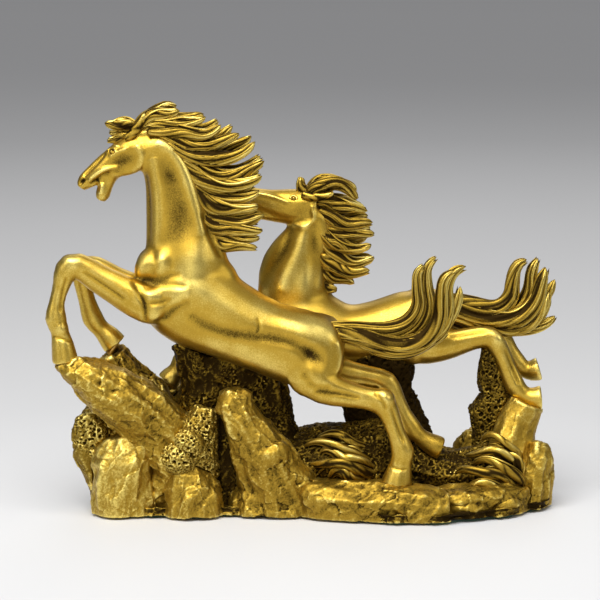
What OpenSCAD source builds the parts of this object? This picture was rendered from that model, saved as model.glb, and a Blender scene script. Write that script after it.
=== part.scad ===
// Desk statue of two galloping horses on a rock base, cast in bronze by sections.
// Origin: middle of the bounding box, on the table. +Z up, the horses run towards -X,
// and the lead horse is on the -Y side.

/* [Statue] */
// Overall length of the statue along X
statue_len = 204; // [120:1:400]
// Distance of the lead horse's middle plane from the origin, towards -Y
lead_offset = 14; // [14:0.5:16]
// Distance of the far horse's middle plane from the origin, towards +Y
far_offset = 16; // [16:0.5:18]

/* [Castings] */
// Girth of the legs, as a share of the drawn one
leg_girth = 1; // [0.9:0.02:1.1]
// Girth of the locks of hair, as a share of the drawn one
lock_girth = 1; // [0.9:0.02:1.1]
// How uneven the rocks are, as a share of their radius
rock_rough = 0.10; // [0:0.01:0.14]

/* [Fixings] */
// Radius of the dowels that locate the horses on the rocks
dowel_r = 1.2; // [1:0.1:1.5]
// Length of each dowel
dowel_len = 8; // [6:0.5:9]
// Radial gap left round each dowel for braze
dowel_gap = 0.1; // [0.05:0.05:0.2]
// Thickness of the felt under the base
felt_t = 0.8; // [0.6:0.1:1.4]
// Thickness of the ground plate that carries the rocks
ground_t = 4.2; // [3.6:0.2:5]

/* [Quality] */
// Rings of a casting between two of its drawn stations
ring_steps = 2; // [1:1:3]

/* [Hidden] */
drawn_len = 204;
size = statue_len / drawn_len;
lead_drop = 1;
far_drop = 5;
bronze = [0.72, 0.53, 0.18];
dark_bronze = [0.36, 0.25, 0.10];
felt_green = [0.08, 0.14, 0.10];
limb_sides = 12;
body_sides = 16;
stone_sides = 11;
lock_rings = 7;
lock_sides = 5;
ground_top = felt_t + ground_t;
centre = [-1.45, -1, 0];

// ---- Lofting -------------------------------------------------------------------------
// A station is [x, y, z, half depth in the X-Z plane, half width along Y].

// Point at share t of the span that starts at station i of p, on a Catmull-Rom curve
function spline_at(p, i, t) =
    let (a = p[max(i - 1, 0)], b = p[i], c = p[i + 1], d = p[min(i + 2, len(p) - 1)])
    0.5 * (2 * b + (c - a) * t + (2 * a - 5 * b + 4 * c - d) * t * t
        + (3 * b - a - 3 * c + d) * t * t * t);

// Stations p with n rings to each span
function refine(p, n) =
    [for (i = [0:len(p) - 2], k = [0:n - 1]) spline_at(p, i, k / n), p[len(p) - 1]];

function place(s) = [s[0], s[1], s[2]];
function unit(v) = v / norm(v);

// Direction of the path p at its station i
function heading(p, i) =
    unit(place(p[min(i + 1, len(p) - 1)]) - place(p[max(i - 1, 0)]));

// A repeatable number between -1 and 1 for cell i, j of a stone
function uneven(i, j, seed) =
    let (v = sin(i * 127.1 + j * 311.7 + seed * 74.7) * 437.58) 2 * (v - floor(v)) - 1;

// Ring of n points round station i of p
function ring(p, i, n, rough, seed) =
    let (
        s = p[i],
        along = heading(p, i),
        up = unit(cross([0, 1, 0], along)),
        side = unit(cross(along, up))
    )
    [for (k = [0:n - 1])
        let (f = 1 + rough * uneven(k, i, seed), turn = 360 * k / n)
        place(s) + up * (s[3] * f * cos(turn)) + side * (s[4] * f * sin(turn))];

// Closed skin of n sides through the stations p
module skin(p, n, rough = 0, seed = 0) {
    rings = len(p);
    polyhedron(
        points = [for (i = [0:rings - 1]) each ring(p, i, n, rough, seed)],
        faces = [
            [for (k = [0:n - 1]) k],
            for (i = [0:rings - 2], k = [0:n - 1])
                let (a = i * n + k, b = i * n + (k + 1) % n)
                each [[a, a + n, b + n], [a, b + n, b]],
            [for (k = [n - 1:-1:0]) (rings - 1) * n + k]
        ],
        convexity = 6
    );
}

// Smooth casting through a few stations
module cast(p, n = limb_sides) {
    skin(refine(p, ring_steps), n);
}

// Leg casting: the same, with the girth of the legs applied
module leg(p) {
    cast([for (s = p) [s[0], s[1], s[2], s[3] * leg_girth, s[4] * leg_girth]]);
}

// Uneven stone through a few stations
module stone(p, seed) {
    skin(p, stone_sides, rock_rough, seed);
}

// ---- Hair ----------------------------------------------------------------------------
// Two kinds of lock. A flung lock is [root x, root z, tip x, tip z, y, half thickness,
// heading at the root, heading at the tip]. A winding lock is [x, y, z, length, half
// thickness, [headings from root to tip]]. Headings are in degrees from +X towards +Z.

function toward(a) = [cos(a), 0, sin(a)];

// Half thickness of a lock at share t of its length, thin at the root and pointed
function swell(t, half) = half * lock_girth * (0.35 + 0.65 * sqrt(1 - t)) * sin(40 + 110 * t) + 0.25;

function lock_station(at, t, half) =
    [at[0], at[1], at[2], swell(t, half), 0.75 * swell(t, half)];

// Point at share t of the cubic from a to d with handles b and c
function cubic(a, b, c, d, t) =
    pow(1 - t, 3) * a + 3 * t * pow(1 - t, 2) * b + 3 * t * t * (1 - t) * c + pow(t, 3) * d;

// Stations of a flung lock; bow carries its middle out along Y
function flung_path(l, bow = 0) =
    let (
        root = [l[0], l[4], l[1]],
        tip = [l[2], l[4], l[3]],
        reach = 0.42 * norm(tip - root)
    )
    [for (i = [0:lock_rings])
        let (
            t = i / lock_rings,
            at = cubic(root, root + reach * toward(l[6]), tip - reach * toward(l[7]), tip, t)
        )
        lock_station(at + [0, bow * sin(180 * t), 0], t, l[5])];

// Heading at share t of a winding lock
function turn_at(turns, t) =
    let (f = t * (len(turns) - 1), i = min(floor(f), len(turns) - 2))
    turns[i] + (turns[i + 1] - turns[i]) * (f - i);

// Stations of a winding lock
function winding_path(l) =
    [for (
        i = 0, at = [l[0], l[1], l[2]];
        i <= lock_rings + 4;
        at = at + toward(turn_at(l[5], (i + 0.5) / (lock_rings + 4))) * l[3] / (lock_rings + 4),
        i = i + 1
    ) lock_station(at, i / (lock_rings + 4), l[4])];

module flung_locks(list) {
    for (l = list)
        skin(flung_path(l), lock_sides);
}

module winding_locks(list) {
    for (l = list)
        skin(winding_path(l), lock_sides);
}

// A mane: each lock of the list on the near side, and once more on the other side with
// its tip drawn in
module mane(list) {
    for (l = list, side = [-1, 1])
        let (
            draw_in = side < 0 ? 0 : 1.6,
            lock = [l[0], l[1], l[2] - draw_in, l[3] + draw_in, side * 2.3, l[4], l[5], l[6]]
        )
        skin(flung_path(lock), lock_sides);
}

// ---- Lead horse, drawn on its middle plane -------------------------------------------
module lead_place() {
    translate([0, -lead_offset, -lead_drop]) children();
}

module lead_trunk_shape() {
    cast([
        [-63.5, 0, 98, 3, 3], [-60.5, 0, 96, 10, 8], [-53, 0, 93, 16, 11.5], [-42, 0, 87.5, 18.5, 13.5],
        [-28, 0, 80, 16.2, 14.2], [-14, 0, 73.5, 14.8, 14], [0, 0, 68.8, 15.6, 13.4],
        [9, 0, 67, 14.2, 12], [14.6, 0, 66.5, 10.2, 8.6], [17.4, 0, 66.5, 4.5, 4]
    ], body_sides);
}

module lead_neck_shape() {
    cast([
        [-43, 0, 90, 16.5, 11], [-45, 0, 103, 16.8, 10.6], [-46.8, 0, 115, 14.2, 8.6],
        [-48.8, 0, 126, 12.1, 7.4], [-51, 0, 136, 10.3, 6.6], [-54.8, 0, 144.5, 8.9, 6.1],
        [-60, 0, 148.8, 7, 5.6]
    ], body_sides);
}

module lead_head_shape() {
    cast([
        [-57.5, 0, 149, 6, 5], [-64.5, 0, 146.8, 7.5, 5.8], [-70, 0, 144, 6.8, 5.5],
        [-76, 0, 141.2, 5.1, 4.6], [-80.8, 0, 138, 3.9, 3.8], [-84.4, 0, 135, 3.3, 3.5],
        [-86.2, 0, 132.8, 1.9, 2.6]
    ], 16);
    cast([
        [-69, 0, 141.5, 2.6, 4.2], [-74, 0, 137.6, 2.8, 3.4], [-76.4, 0, 133.4, 2.9, 2.7],
        [-77.6, 0, 130, 3, 2.5], [-78.4, 0, 127.8, 1.9, 1.9]
    ], 10);
}

module lead_ears_shape() {
    for (side = [-1, 1])
        cast([
            [-68, side * 3.2, 152.5, 1.4, 1.1], [-65.4, side * 3.8, 155.4, 2.2, 1.6],
            [-63, side * 4.2, 158.6, 1.8, 1.3], [-60.6, side * 4.4, 162.4, 0.4, 0.4]
        ], 8);
}

module lead_forelock_shape() {
    flung_locks([
        [-64, 157, -76.5, 157.6, -1.2, 2.7, 160, 182],
        [-64.5, 155.4, -75, 154, 1.4, 2.4, 175, 190],
        [-66, 153.4, -75.5, 150.8, 0, 1.8, 190, 200]
    ]);
}

// Locks of the mane: [root x, root z, tip x, tip z, half thickness, heading at each end]
module lead_mane_shape() {
    mane([
        [-64, 157, -47, 164.8, 3.0, 54, 6],
        [-62, 157.5, -37.5, 162.4, 3.3, 25, 42],
        [-60, 155.5, -31, 158, 3.4, 5, 40],
        [-56, 153.5, -25, 155.5, 3.6, -20, 48],
        [-52.5, 151, -18.5, 152, 3.8, -34, 52],
        [-49.5, 147.5, -14.5, 144, 3.9, -44, 52],
        [-47, 143, -15.5, 138.5, 3.9, -50, 42],
        [-44.5, 138.5, -16.5, 132.5, 3.8, -52, 36],
        [-43, 133.5, -17, 127, 3.7, -54, 26],
        [-41.5, 128.5, -14, 122, 3.6, -55, 20],
        [-40, 123.5, -15, 117.8, 3.4, -56, 14],
        [-39, 119, -16, 114.2, 3.0, -56, 12],
        [-38, 115, -17, 111, 2.6, -54, 10]
    ]);
}

module lead_tail_shape() {
    winding_locks([
        [10, -1, 76.6, 60, 3.6, [4, -2, -4, 2, 20, 56, 104, 104, 50]],
        [10, 1.4, 76, 68, 4, [0, -6, -12, 0, 28, 62, 98, 92, 40]],
        [11, -1.8, 75.6, 71, 4.4, [-2, -10, -18, -6, 18, 52, 86, 92, 30]],
        [12, -0.6, 75.6, 76, 4.6, [-4, -14, -20, -6, 14, 38, 78, 98, 62, 10]],
        [12, 1.6, 75.6, 66, 4.2, [-6, -18, -22, -4, 24, 52, 74, 90]],
        [12, -1.6, 75.8, 60, 4, [-6, -20, -26, -12, 20, 50, 80, 120]],
        [12, 1, 76, 50, 3.4, [-8, -22, -26, -4, 30, 56]]
    ]);
}

module lead_foreleg_near_shape() {
    leg([
        [-50, -5, 88, 7, 4], [-57, -7.5, 87.4, 8.4, 6], [-64, -8, 89.4, 7.6, 6], [-72, -8, 93.8, 6.6, 5.2],
        [-80, -8, 98.4, 5.8, 4.6], [-87, -8, 102.8, 5.2, 4.4], [-91.6, -8, 101, 5, 4.2],
        [-93.8, -8, 94.6, 3.5, 3.2], [-95.6, -8, 88, 3.2, 3], [-96, -8, 81.8, 4.4, 3.7],
        [-94.6, -8, 76.8, 3.5, 3.2], [-93.6, -8, 72.4, 4.4, 4.2], [-92.4, -8, 64.4, 5.4, 5.2]
    ]);
}

module lead_foreleg_far_shape() {
    leg([
        [-50, 5, 91, 7, 4], [-58, 6.5, 88.6, 7.6, 5.6], [-66, 7, 91, 6.8, 5.4], [-74, 7, 95.2, 5.6, 4.8],
        [-81.5, 7, 99.8, 5, 4.2], [-86, 7, 98.8, 4.6, 4], [-86.2, 7, 93.5, 3.7, 3.2],
        [-84.6, 7, 86.5, 3.5, 3], [-82.4, 7, 79.4, 4.4, 3.6], [-79.4, 7, 75.4, 3.7, 3.3],
        [-76.6, 7, 72.6, 4.6, 4.2], [-73.6, 7, 68.8, 5.3, 5]
    ]);
}

// Big muscle of a hind leg, from the croup at [x, z] down to the stifle
module haunch(x, z, side) {
    cast([
        [x + 4, side * 5, z + 12, 5, 3], [x + 2.5, side * 6, z + 7, 10, 5], [x, side * 7, z - 2, 12, 6.4],
        [x - 1.5, side * 7.6, z - 10, 9.5, 6], [x - 1, side * 7.8, z - 15.4, 4, 3.4]
    ]);
}

module lead_hindleg_near_shape() {
    haunch(5, 67, -1);
    leg([
        [3, -8, 59, 8, 5.4], [10, -8, 54.4, 7.2, 5.6], [18, -8, 51.7, 5.5, 4.9], [26, -8, 50, 4.7, 4.1],
        [32.8, -8, 47.6, 4.9, 3.9], [36.2, -8, 41.4, 3.9, 3.3], [38.4, -8, 35, 3.7, 3.1],
        [40.6, -8, 28.8, 4.7, 4], [40, -8, 24.6, 4.3, 3.8], [39.2, -8, 20.4, 5.2, 4.8],
        [38.2, -8, 15, 6.6, 6]
    ]);
}

module lead_hindleg_far_shape() {
    haunch(6, 69, 1);
    leg([
        [4, 8, 62, 8, 5.2], [12, 8, 59, 6.6, 5.2], [20, 8, 57, 5.2, 4.7], [28, 8, 55.6, 4.5, 4],
        [34.4, 8, 53.4, 4.7, 3.8], [38, 8, 47.4, 3.8, 3.2], [41, 8, 41, 3.6, 3], [44.6, 8, 34.6, 4.3, 3.6],
        [47.6, 8, 31.8, 3.4, 3.2],
        [50.8, 8, 29.4, 4, 3.9], [54.4, 8, 27.4, 4.7, 4.6], [56.8, 8, 26.4, 4.4, 4.4]
    ]);
}

// ---- Far horse, drawn on its middle plane --------------------------------------------
module far_place() {
    translate([0, far_offset, -far_drop]) children();
}

module far_trunk_shape() {
    cast([
        [-17.5, 0, 86, 3, 3], [-14.5, 0, 85, 9.5, 8], [-7, 0, 81.8, 15, 11.5], [4, 0, 76.5, 15.8, 13.4],
        [18, 0, 71.5, 14, 13.8], [32, 0, 73, 14.2, 13.6], [44, 0, 76.2, 15, 13.2], [53, 0, 78.5, 13, 11.6],
        [59, 0, 80, 9.4, 8.2], [62, 0, 80.5, 4.2, 4]
    ], body_sides);
}

module far_neck_shape() {
    cast([
        [0, 0, 82, 15, 10.5], [-3.2, 0, 93, 14.2, 10], [-2.2, 0, 102, 13, 8.6], [1.2, 0, 110, 10.2, 7.2],
        [4.2, 0, 117, 8.2, 6.3], [4, 0, 123.6, 7, 5.8]
    ], body_sides);
}

module far_head_shape() {
    cast([
        [7, 0, 126, 5.5, 5], [0.5, 0, 125, 7.5, 5.8], [-6, 0, 125.8, 6.8, 5.4], [-12.5, 0, 127.2, 5.2, 4.5],
        [-18.5, 0, 128.8, 4.2, 3.8], [-24, 0, 129.8, 3.8, 3.6], [-28.6, 0, 129.8, 3.2, 3.2],
        [-31, 0, 129.4, 1.8, 2.2]
    ], 16);
    cast([
        [-3, 0, 120.4, 2.6, 4.2], [-10, 0, 121.8, 2.8, 3.4], [-17, 0, 122.6, 2.4, 2.8],
        [-22.5, 0, 122.6, 2.4, 2.6], [-26, 0, 122.4, 1.5, 1.9]
    ], 10);
}

module far_ears_shape() {
    for (side = [-1, 1])
        cast([
            [0.5, side * 4, 131, 1.4, 1.1], [4, side * 4.9, 129.8, 2, 1.5],
            [8.6, side * 5.6, 129.8, 1.9, 1.4], [13.6, side * 5.8, 131.4, 0.4, 0.4]
        ], 8);
}

module far_forelock_shape() {
    flung_locks([
        [6, 129.5, 0, 137.6, -1.4, 2.6, 150, 84],
        [6, 130, 4, 134.6, 1.4, 2.2, 130, 76]
    ]);
}

module far_mane_shape() {
    mane([
        [4, 130.5, 24, 129.5, 3.4, 62, -46],
        [6.5, 128, 27, 125, 3.2, 5, 12],
        [7, 124, 29, 120, 3.4, -30, 22],
        [8.5, 120, 29.5, 116.2, 3.4, -46, 24],
        [8.5, 116, 28.6, 110.8, 3.4, -52, 20],
        [8.5, 111.5, 30, 104.8, 3.6, -58, 26],
        [8.5, 106.5, 28, 100.4, 3.4, -62, 16],
        [7.5, 101.5, 22, 96, 3.0, -62, 0],
        [6, 97, 15, 91.6, 2.6, -60, -16]
    ]);
}

module far_tail_shape() {
    winding_locks([
        [55, -1.4, 86.5, 49, 4.6, [4, -6, -14, -4, 40, 82, 74, 30]],
        [55, 1.6, 86, 57, 5, [2, -10, -14, 2, 48, 96, 74]],
        [55, -1.8, 84.5, 58, 5.2, [-2, -14, -14, 2, 40, 80, 84]],
        [56, 1.4, 83, 56, 5, [-6, -18, -14, 2, 30, 62, 88]],
        [56, -1, 82, 52, 4.8, [-10, -18, -14, -2, 18, 58, 84]],
        [56, 0.6, 81.4, 49, 4.2, [-10, -20, -12, 0, 16, 46]]
    ]);
}

module far_foreleg_near_shape() {
    leg([
        [-5, -6, 79, 7, 4], [-13, -7.6, 77, 7.4, 5.4], [-22, -8, 78.4, 6.6, 5], [-31, -8, 80.4, 5.4, 4.4],
        [-38, -8, 80.4, 5, 4.2], [-42, -8, 75.5, 4.2, 3.6], [-44.4, -8, 69, 3.5, 3.1],
        [-47.6, -8, 63.6, 4.2, 3.5], [-49.4, -8, 60, 3.6, 3.3], [-51, -8, 58, 4.4, 4.1],
        [-53.2, -8, 55, 5.2, 4.8]
    ]);
}

module far_foreleg_far_shape() {
    leg([
        [-5, 6, 82, 7, 4], [-13, 7.6, 81, 7.4, 5.4], [-22, 8, 84, 6.6, 5], [-31, 8, 88, 5.4, 4.4],
        [-38, 8, 88.6, 5, 4.2], [-41.6, 8, 84, 4.2, 3.6], [-41.4, 8, 77, 3.5, 3.1],
        [-39.4, 8, 70.4, 4.2, 3.5], [-36.4, 8, 66.8, 3.6, 3.3], [-33.8, 8, 65.4, 4.4, 4.1],
        [-29.6, 8, 64, 5, 4.6]
    ]);
}

module far_hindleg_near_shape() {
    haunch(48, 78, -1);
    leg([
        [44, -8, 71, 8.6, 5.4], [52, -8, 69.6, 7.4, 5.6], [61, -8, 70.6, 6, 5], [69.5, -8, 72.8, 4.8, 4.2],
        [76.4, -8, 73.2, 4.8, 3.9], [80.6, -8, 67.6, 4, 3.4], [83.4, -8, 61, 3.7, 3.1],
        [86.6, -8, 54, 4.3, 3.7], [89.8, -8, 50.2, 3.6, 3.3], [93.4, -8, 48.4, 4.4, 4.2],
        [97.6, -8, 48.4, 5.4, 5]
    ]);
}

module far_hindleg_far_shape() {
    haunch(49, 79, 1);
    leg([
        [45, 8, 73, 8.6, 5.4], [53, 8, 72.4, 7.2, 5.6], [62, 8, 74, 5.8, 5], [71, 8, 76.4, 4.8, 4.2],
        [78, 8, 76.6, 4.8, 3.9], [82.4, 8, 71, 3.9, 3.4], [85.6, 8, 65, 3.6, 3.1], [89, 8, 59.4, 4.2, 3.6],
        [91.8, 8, 57.2, 3.5, 3.2], [94.6, 8, 56.8, 4.4, 4.2], [97.8, 8, 57.6, 5, 4.8]
    ]);
}

// ---- Rocks ---------------------------------------------------------------------------
// Foot of each rock on the ground plate: [x, y, radius]
rock_feet = [
    [-70, -10, 13], [-75, -1, 9], [-58, -10, 13], [-41, -13, 12], [-26, -10, 11], [-8, -11, 13],
    [6, -10, 10], [22, -18, 13], [38, -22, 14], [53, -23, 13], [66, -17, 13], [78, -13, 12],
    [90, -1, 12], [88, 12, 12], [74, 20, 12], [54, 25, 12], [34, 26, 12], [10, 26, 12],
    [-16, 26, 12], [-36, 25, 12], [-57, 21, 15], [-72, 10, 13]
];

// Lobed plan of the ground plate, drawn in by the inset
module ground_plan(inset) {
    offset(r = -inset) offset(r = -4) offset(r = 4) union() {
        for (f = rock_feet)
            translate([f[0], f[1]]) circle(r = f[2], $fn = 20);
        polygon([for (f = rock_feet) [f[0], f[1]]]);
    }
}

module left_boulder_shape() {
    stone([
        [-71, -12, 2, 12.5, 10], [-70.5, -12.5, 8, 13.8, 11.4], [-70, -13, 16, 13.4, 11.4],
        [-70.4, -13.5, 23, 12.8, 10.6], [-70.8, -14, 28.8, 11, 9], [-71.4, -14, 32.4, 7, 6]
    ], 3);
}

module left_shard_shape() {
    stone([
        [-75, -2, 3, 7, 8], [-78.4, -4, 14, 6.8, 9], [-81.4, -5, 25, 8.8, 8.6], [-83, -6, 34, 8.6, 7],
        [-86, -7, 40, 4.6, 4.6]
    ], 5);
    stone([[-77, -3, 20, 6, 6], [-75.4, -3, 31, 7.6, 6.4], [-73, -3, 39, 6, 5.6]], 6);
}

module leap_spur_shape() {
    stone([
        [-57, -8, 3, 8.6, 8], [-55.4, -8.4, 10, 9.2, 8.8], [-52, -9.6, 18, 11.4, 10.4],
        [-56, -12, 34, 13, 12], [-65, -15, 44.5, 12, 12],
        [-75, -18, 51.5, 10.8, 10.6], [-84.4, -20.5, 57.6, 8.4, 8.8], [-91.6, -22, 61, 5.4, 7],
        [-96, -22.4, 63.4, 2, 3.2]
    ], 8);
}

module leap_spur_back_shape() {
    stone([
        [-52, 2, 12, 12, 11], [-57, 0, 32, 13, 11], [-65, -3, 46, 11.4, 9.6], [-71, -5.6, 56, 8.4, 8],
        [-75, -7, 64.8, 5.6, 6.4]
    ], 11);
}

module mid_boulder_shape() {
    stone([
        [-42, -17, 2, 10.6, 8.6], [-43, -17, 7, 11.4, 9.6], [-43.4, -17, 13, 11, 9.4],
        [-43.4, -17, 18, 8.6, 7.6], [-43.2, -16.6, 21.4, 4.6, 4.4]
    ], 2);
}

module porous_patch_shape() {
    stone([
        [-45, -9, 8, 8, 6], [-43.6, -12, 18, 10.8, 7], [-42.6, -14, 27, 10.8, 7.4], [-39.6, -13, 36, 7.4, 7],
        [-37.4, -12, 43, 4.6, 5]
    ], 6);
}

module belly_wall_shape() {
    stone([
        [-26, 1, 4, 26, 12.6], [-27, 1, 24, 26, 12], [-28, -1, 40, 24.5, 11], [-29.4, -4, 52, 21.4, 10],
        [-33, -6, 60, 18.6, 9], [-40, -8, 66, 12.4, 8], [-44.5, -8, 72, 8.6, 7]
    ], 9);
}

module front_spur_shape() {
    stone([
        [-9.4, -12.4, 2, 22.4, 10.6], [-9.4, -13.4, 8, 18, 10.6], [-10.4, -14.6, 15, 14.8, 10.2],
        [-13.4, -16, 22, 12.4, 9.4],
        [-18.6, -18, 32, 10, 8.2], [-23, -18.6, 41, 7.6, 7], [-26.6, -18.6, 48, 6.6, 6.2],
        [-28, -18.4, 51.6, 3.6, 4]
    ], 4);
}

module front_ledge_shape() {
    stone([
        [-2, -13, 8, 6, 8], [10, -17, 8, 7.6, 10], [24, -21, 8, 7.4, 11], [36, -23, 8.4, 7.6, 11.4],
        [48, -24, 7.4, 7, 11], [58, -23, 6.6, 5.4, 8]
    ], 7);
    stone([[37, -27, 1, 9.4, 6], [37.6, -27.4, 7.6, 9, 6], [38, -26.8, 12.6, 6, 4.4]], 21);
}

module right_ledge_shape() {
    stone([
        [52, -18, 6, 5, 8], [62, -18, 7, 5.4, 9.6], [73, -15, 7.6, 5.8, 9.6], [83, -10, 7.4, 5.4, 8.4],
        [89, -6, 7, 3.6, 5.4]
    ], 12);
}

module haunch_rock_shape() {
    stone([
        [-4, 1, 17, 13, 14], [8, 1, 19, 14.2, 16], [20, 0, 19, 15, 15], [30, 0, 20, 16, 14],
        [40, 2, 17, 13.4, 13], [52, 3, 14, 10, 13.4], [64, 3, 13.6, 9.4, 13.4], [76, 3, 15, 11, 12]
    ], 10);
}

module croup_pillar_shape() {
    stone([
        [39, 9, 16, 19, 9], [36, 9, 28, 17.4, 8.6], [33, 9.6, 38, 16, 8.4], [31, 10, 47, 15, 8.2],
        [31, 11, 56, 14.6, 8.4], [32, 12, 64, 13, 8.4]
    ], 13);
}

module hoof_stump_shape() {
    stone([
        [84, 1, 8, 11, 8.4], [84.4, 2, 19, 9.6, 8.4], [85.6, 4.6, 26, 9, 8], [88, 6.6, 32, 8.6, 7.8],
        [90.6, 8, 38, 8, 7.6], [92, 8, 41.6, 7, 7]
    ], 14);
}

module porous_column_shape() {
    stone([
        [76, 13, 10, 7.4, 6.4], [76, 13, 25, 6, 6], [76.4, 13, 30, 6, 6], [76, 13, 36, 8.4, 6.4],
        [79.6, 12.4, 43.6, 6.2, 5.6], [78, 12, 50, 6.8, 5.6], [77.4, 11.4, 57, 5.6, 5],
        [77.4, 10.4, 64.6, 4, 4]
    ], 15);
}

module end_rock_shape() {
    stone([
        [92.6, 1, 3, 7, 10], [94.4, 1.4, 12, 7, 10.4], [95.6, 2.6, 20, 6.2, 9], [96, 4, 25.4, 4.4, 6.6]
    ], 16);
}

module back_boulders_shape() {
    stone([
        [-58, 20, 2, 15, 10], [-57, 20, 18, 13.4, 10], [-55, 18, 34, 10.4, 9], [-53, 13, 44, 7, 7],
        [-52.4, 10, 49, 4.6, 5]
    ], 17);
    stone([[-16, 24, 2, 17, 9.6], [-16, 23, 14, 15, 9], [-18, 21, 26, 10, 8], [-19, 19, 33, 5, 5]], 18);
    stone([[36, 26, 2, 19, 9], [36, 25, 14, 16, 9], [37, 22, 26, 10, 8], [37, 20, 34, 5, 5]], 19);
    stone([[70, 22, 2, 14, 9], [70, 21, 12, 12, 8.6], [71, 19, 22, 8, 7], [72, 17, 28, 4.6, 5]], 20);
}

// Blades of grass, as flung locks that bow out of the rock
module front_blades_shape() {
    for (l = [
        [30, 24, 6, 31.5, -8, 2.2, 140, 186],
        [31, 21, 1, 27.5, -10, 2.5, 150, 198],
        [30, 18, 8, 24.4, -12, 2.4, 146, 202],
        [31, 15.6, 3, 20.4, -13, 2.5, 160, 210],
        [26, 13.6, 10, 16.8, -13, 2.2, 158, 216],
        [22, 27.4, 11, 33.4, -7, 1.8, 120, 172]
    ])
        skin(flung_path(l, -6), lock_sides);
}

module right_blades_shape() {
    for (l = [
        [88, 19, 72, 29, -3, 2, 88, 206],
        [87.6, 15.6, 66, 24.4, -5, 2.3, 100, 190],
        [88.4, 9.6, 69, 20, -7, 2.4, 90, 198],
        [86.6, 9, 61, 15.4, -8, 2.4, 118, 206],
        [83, 7.6, 63, 8.8, -9, 2.3, 130, 214],
        [88, 12, 79, 24.4, -4, 2, 70, 190]
    ])
        skin(flung_path(l, -6), lock_sides);
}

// ---- Dowels --------------------------------------------------------------------------
// Each is [x, y, z of its middle, tilt of its axis from +Z towards +X]
hoof_dowel_list = [
    [-92.4, -lead_offset - 8, 63.4, -8], [-74, -lead_offset + 7, 67.4, 30],
    [38, -lead_offset - 8, 13.4, 8], [92, far_offset - 8, 39.4, 0]
];
belly_dowel_list = [[-44, -9, 71, 0], [-30, -6, 62, 0], [41, 11, 60, 0]];

module dowels(list, grow = 0) {
    for (d = list)
        translate([d[0], d[1], d[2]]) rotate([0, d[3], 0])
            cylinder(h = dowel_len + 2 * grow, r = dowel_r + grow, center = true, $fn = 24);
}

module dowel_holes() {
    dowels(hoof_dowel_list, dowel_gap);
    dowels(belly_dowel_list, dowel_gap);
}

// Puts a casting, drawn at its own place, in the part's frame
module finished(metal) {
    color(metal) scale(size) translate(centre) children();
}

// ---- The castings as they meet -------------------------------------------------------
module lead_flesh() {
    lead_place() {
        lead_trunk_shape();
        lead_foreleg_near_shape();
        lead_foreleg_far_shape();
        lead_hindleg_near_shape();
        lead_hindleg_far_shape();
    }
}

module far_flesh() {
    far_place() {
        far_trunk_shape();
        far_foreleg_near_shape();
        far_foreleg_far_shape();
        far_hindleg_near_shape();
        far_hindleg_far_shape();
    }
}

// A rock: its first child, cut off flat on the ground plate, less its other children, the
// horses and the dowels
module rock() {
    difference() {
        children(0);
        translate([-150, -60, -20]) cube([300, 120, 20 + ground_top]);
        if ($children > 1) children([1:$children - 1]);
        lead_flesh();
        far_flesh();
        dowel_holes();
    }
}

module felt_pad() {
    finished(felt_green) linear_extrude(height = felt_t) ground_plan(4);
}

module ground_slab() {
    finished(bronze) translate([0, 0, felt_t]) linear_extrude(height = ground_t) ground_plan(0);
}

module left_boulder() {
    finished(bronze) rock() left_boulder_shape();
}

module left_shard() {
    finished(bronze) rock() {
        left_shard_shape();
        left_boulder_shape();
    }
}

module leap_spur() {
    finished(bronze) rock() {
        leap_spur_shape();
        left_boulder_shape();
        left_shard_shape();
    }
}

module leap_spur_back() {
    finished(dark_bronze) rock() {
        leap_spur_back_shape();
        left_boulder_shape();
        left_shard_shape();
        leap_spur_shape();
    }
}

module mid_boulder() {
    finished(bronze) rock() {
        mid_boulder_shape();
        leap_spur_shape();
    }
}

module porous_patch() {
    finished(dark_bronze) rock() {
        porous_patch_shape();
        leap_spur_shape();
        leap_spur_back_shape();
        mid_boulder_shape();
    }
}

module belly_wall() {
    finished(dark_bronze) rock() {
        belly_wall_shape();
        leap_spur_shape();
        leap_spur_back_shape();
        mid_boulder_shape();
        porous_patch_shape();
        front_spur_shape();
    }
}

module front_spur() {
    finished(bronze) rock() {
        front_spur_shape();
        mid_boulder_shape();
        porous_patch_shape();
    }
}

module front_ledge() {
    finished(bronze) rock() {
        front_ledge_shape();
        front_spur_shape();
        belly_wall_shape();
    }
}

module right_ledge() {
    finished(bronze) rock() {
        right_ledge_shape();
        front_ledge_shape();
    }
}

module haunch_rock() {
    finished(dark_bronze) rock() {
        haunch_rock_shape();
        belly_wall_shape();
        front_spur_shape();
        front_ledge_shape();
        right_ledge_shape();
    }
}

module croup_pillar() {
    finished(dark_bronze) rock() {
        croup_pillar_shape();
        haunch_rock_shape();
    }
}

module hoof_stump() {
    finished(bronze) rock() {
        hoof_stump_shape();
        haunch_rock_shape();
        right_ledge_shape();
    }
}

module porous_column() {
    finished(dark_bronze) rock() {
        porous_column_shape();
        haunch_rock_shape();
        hoof_stump_shape();
        right_ledge_shape();
    }
}

module end_rock() {
    finished(bronze) rock() {
        end_rock_shape();
        hoof_stump_shape();
        right_ledge_shape();
    }
}

module back_boulders() {
    finished(dark_bronze) rock() {
        back_boulders_shape();
        leap_spur_shape();
        leap_spur_back_shape();
        belly_wall_shape();
        haunch_rock_shape();
        croup_pillar_shape();
    }
}

module grass_front() {
    finished(bronze) rock() {
        front_blades_shape();
        front_spur_shape();
        front_ledge_shape();
        haunch_rock_shape();
        belly_wall_shape();
    }
}

module grass_right() {
    finished(bronze) rock() {
        right_blades_shape();
        right_ledge_shape();
        front_ledge_shape();
        haunch_rock_shape();
        hoof_stump_shape();
        end_rock_shape();
    }
}

// A section of the lead horse: its first child, less its others and the dowels
module lead_section() {
    finished(bronze) difference() {
        lead_place() children(0);
        if ($children > 1) lead_place() children([1:$children - 1]);
        dowel_holes();
    }
}

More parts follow.
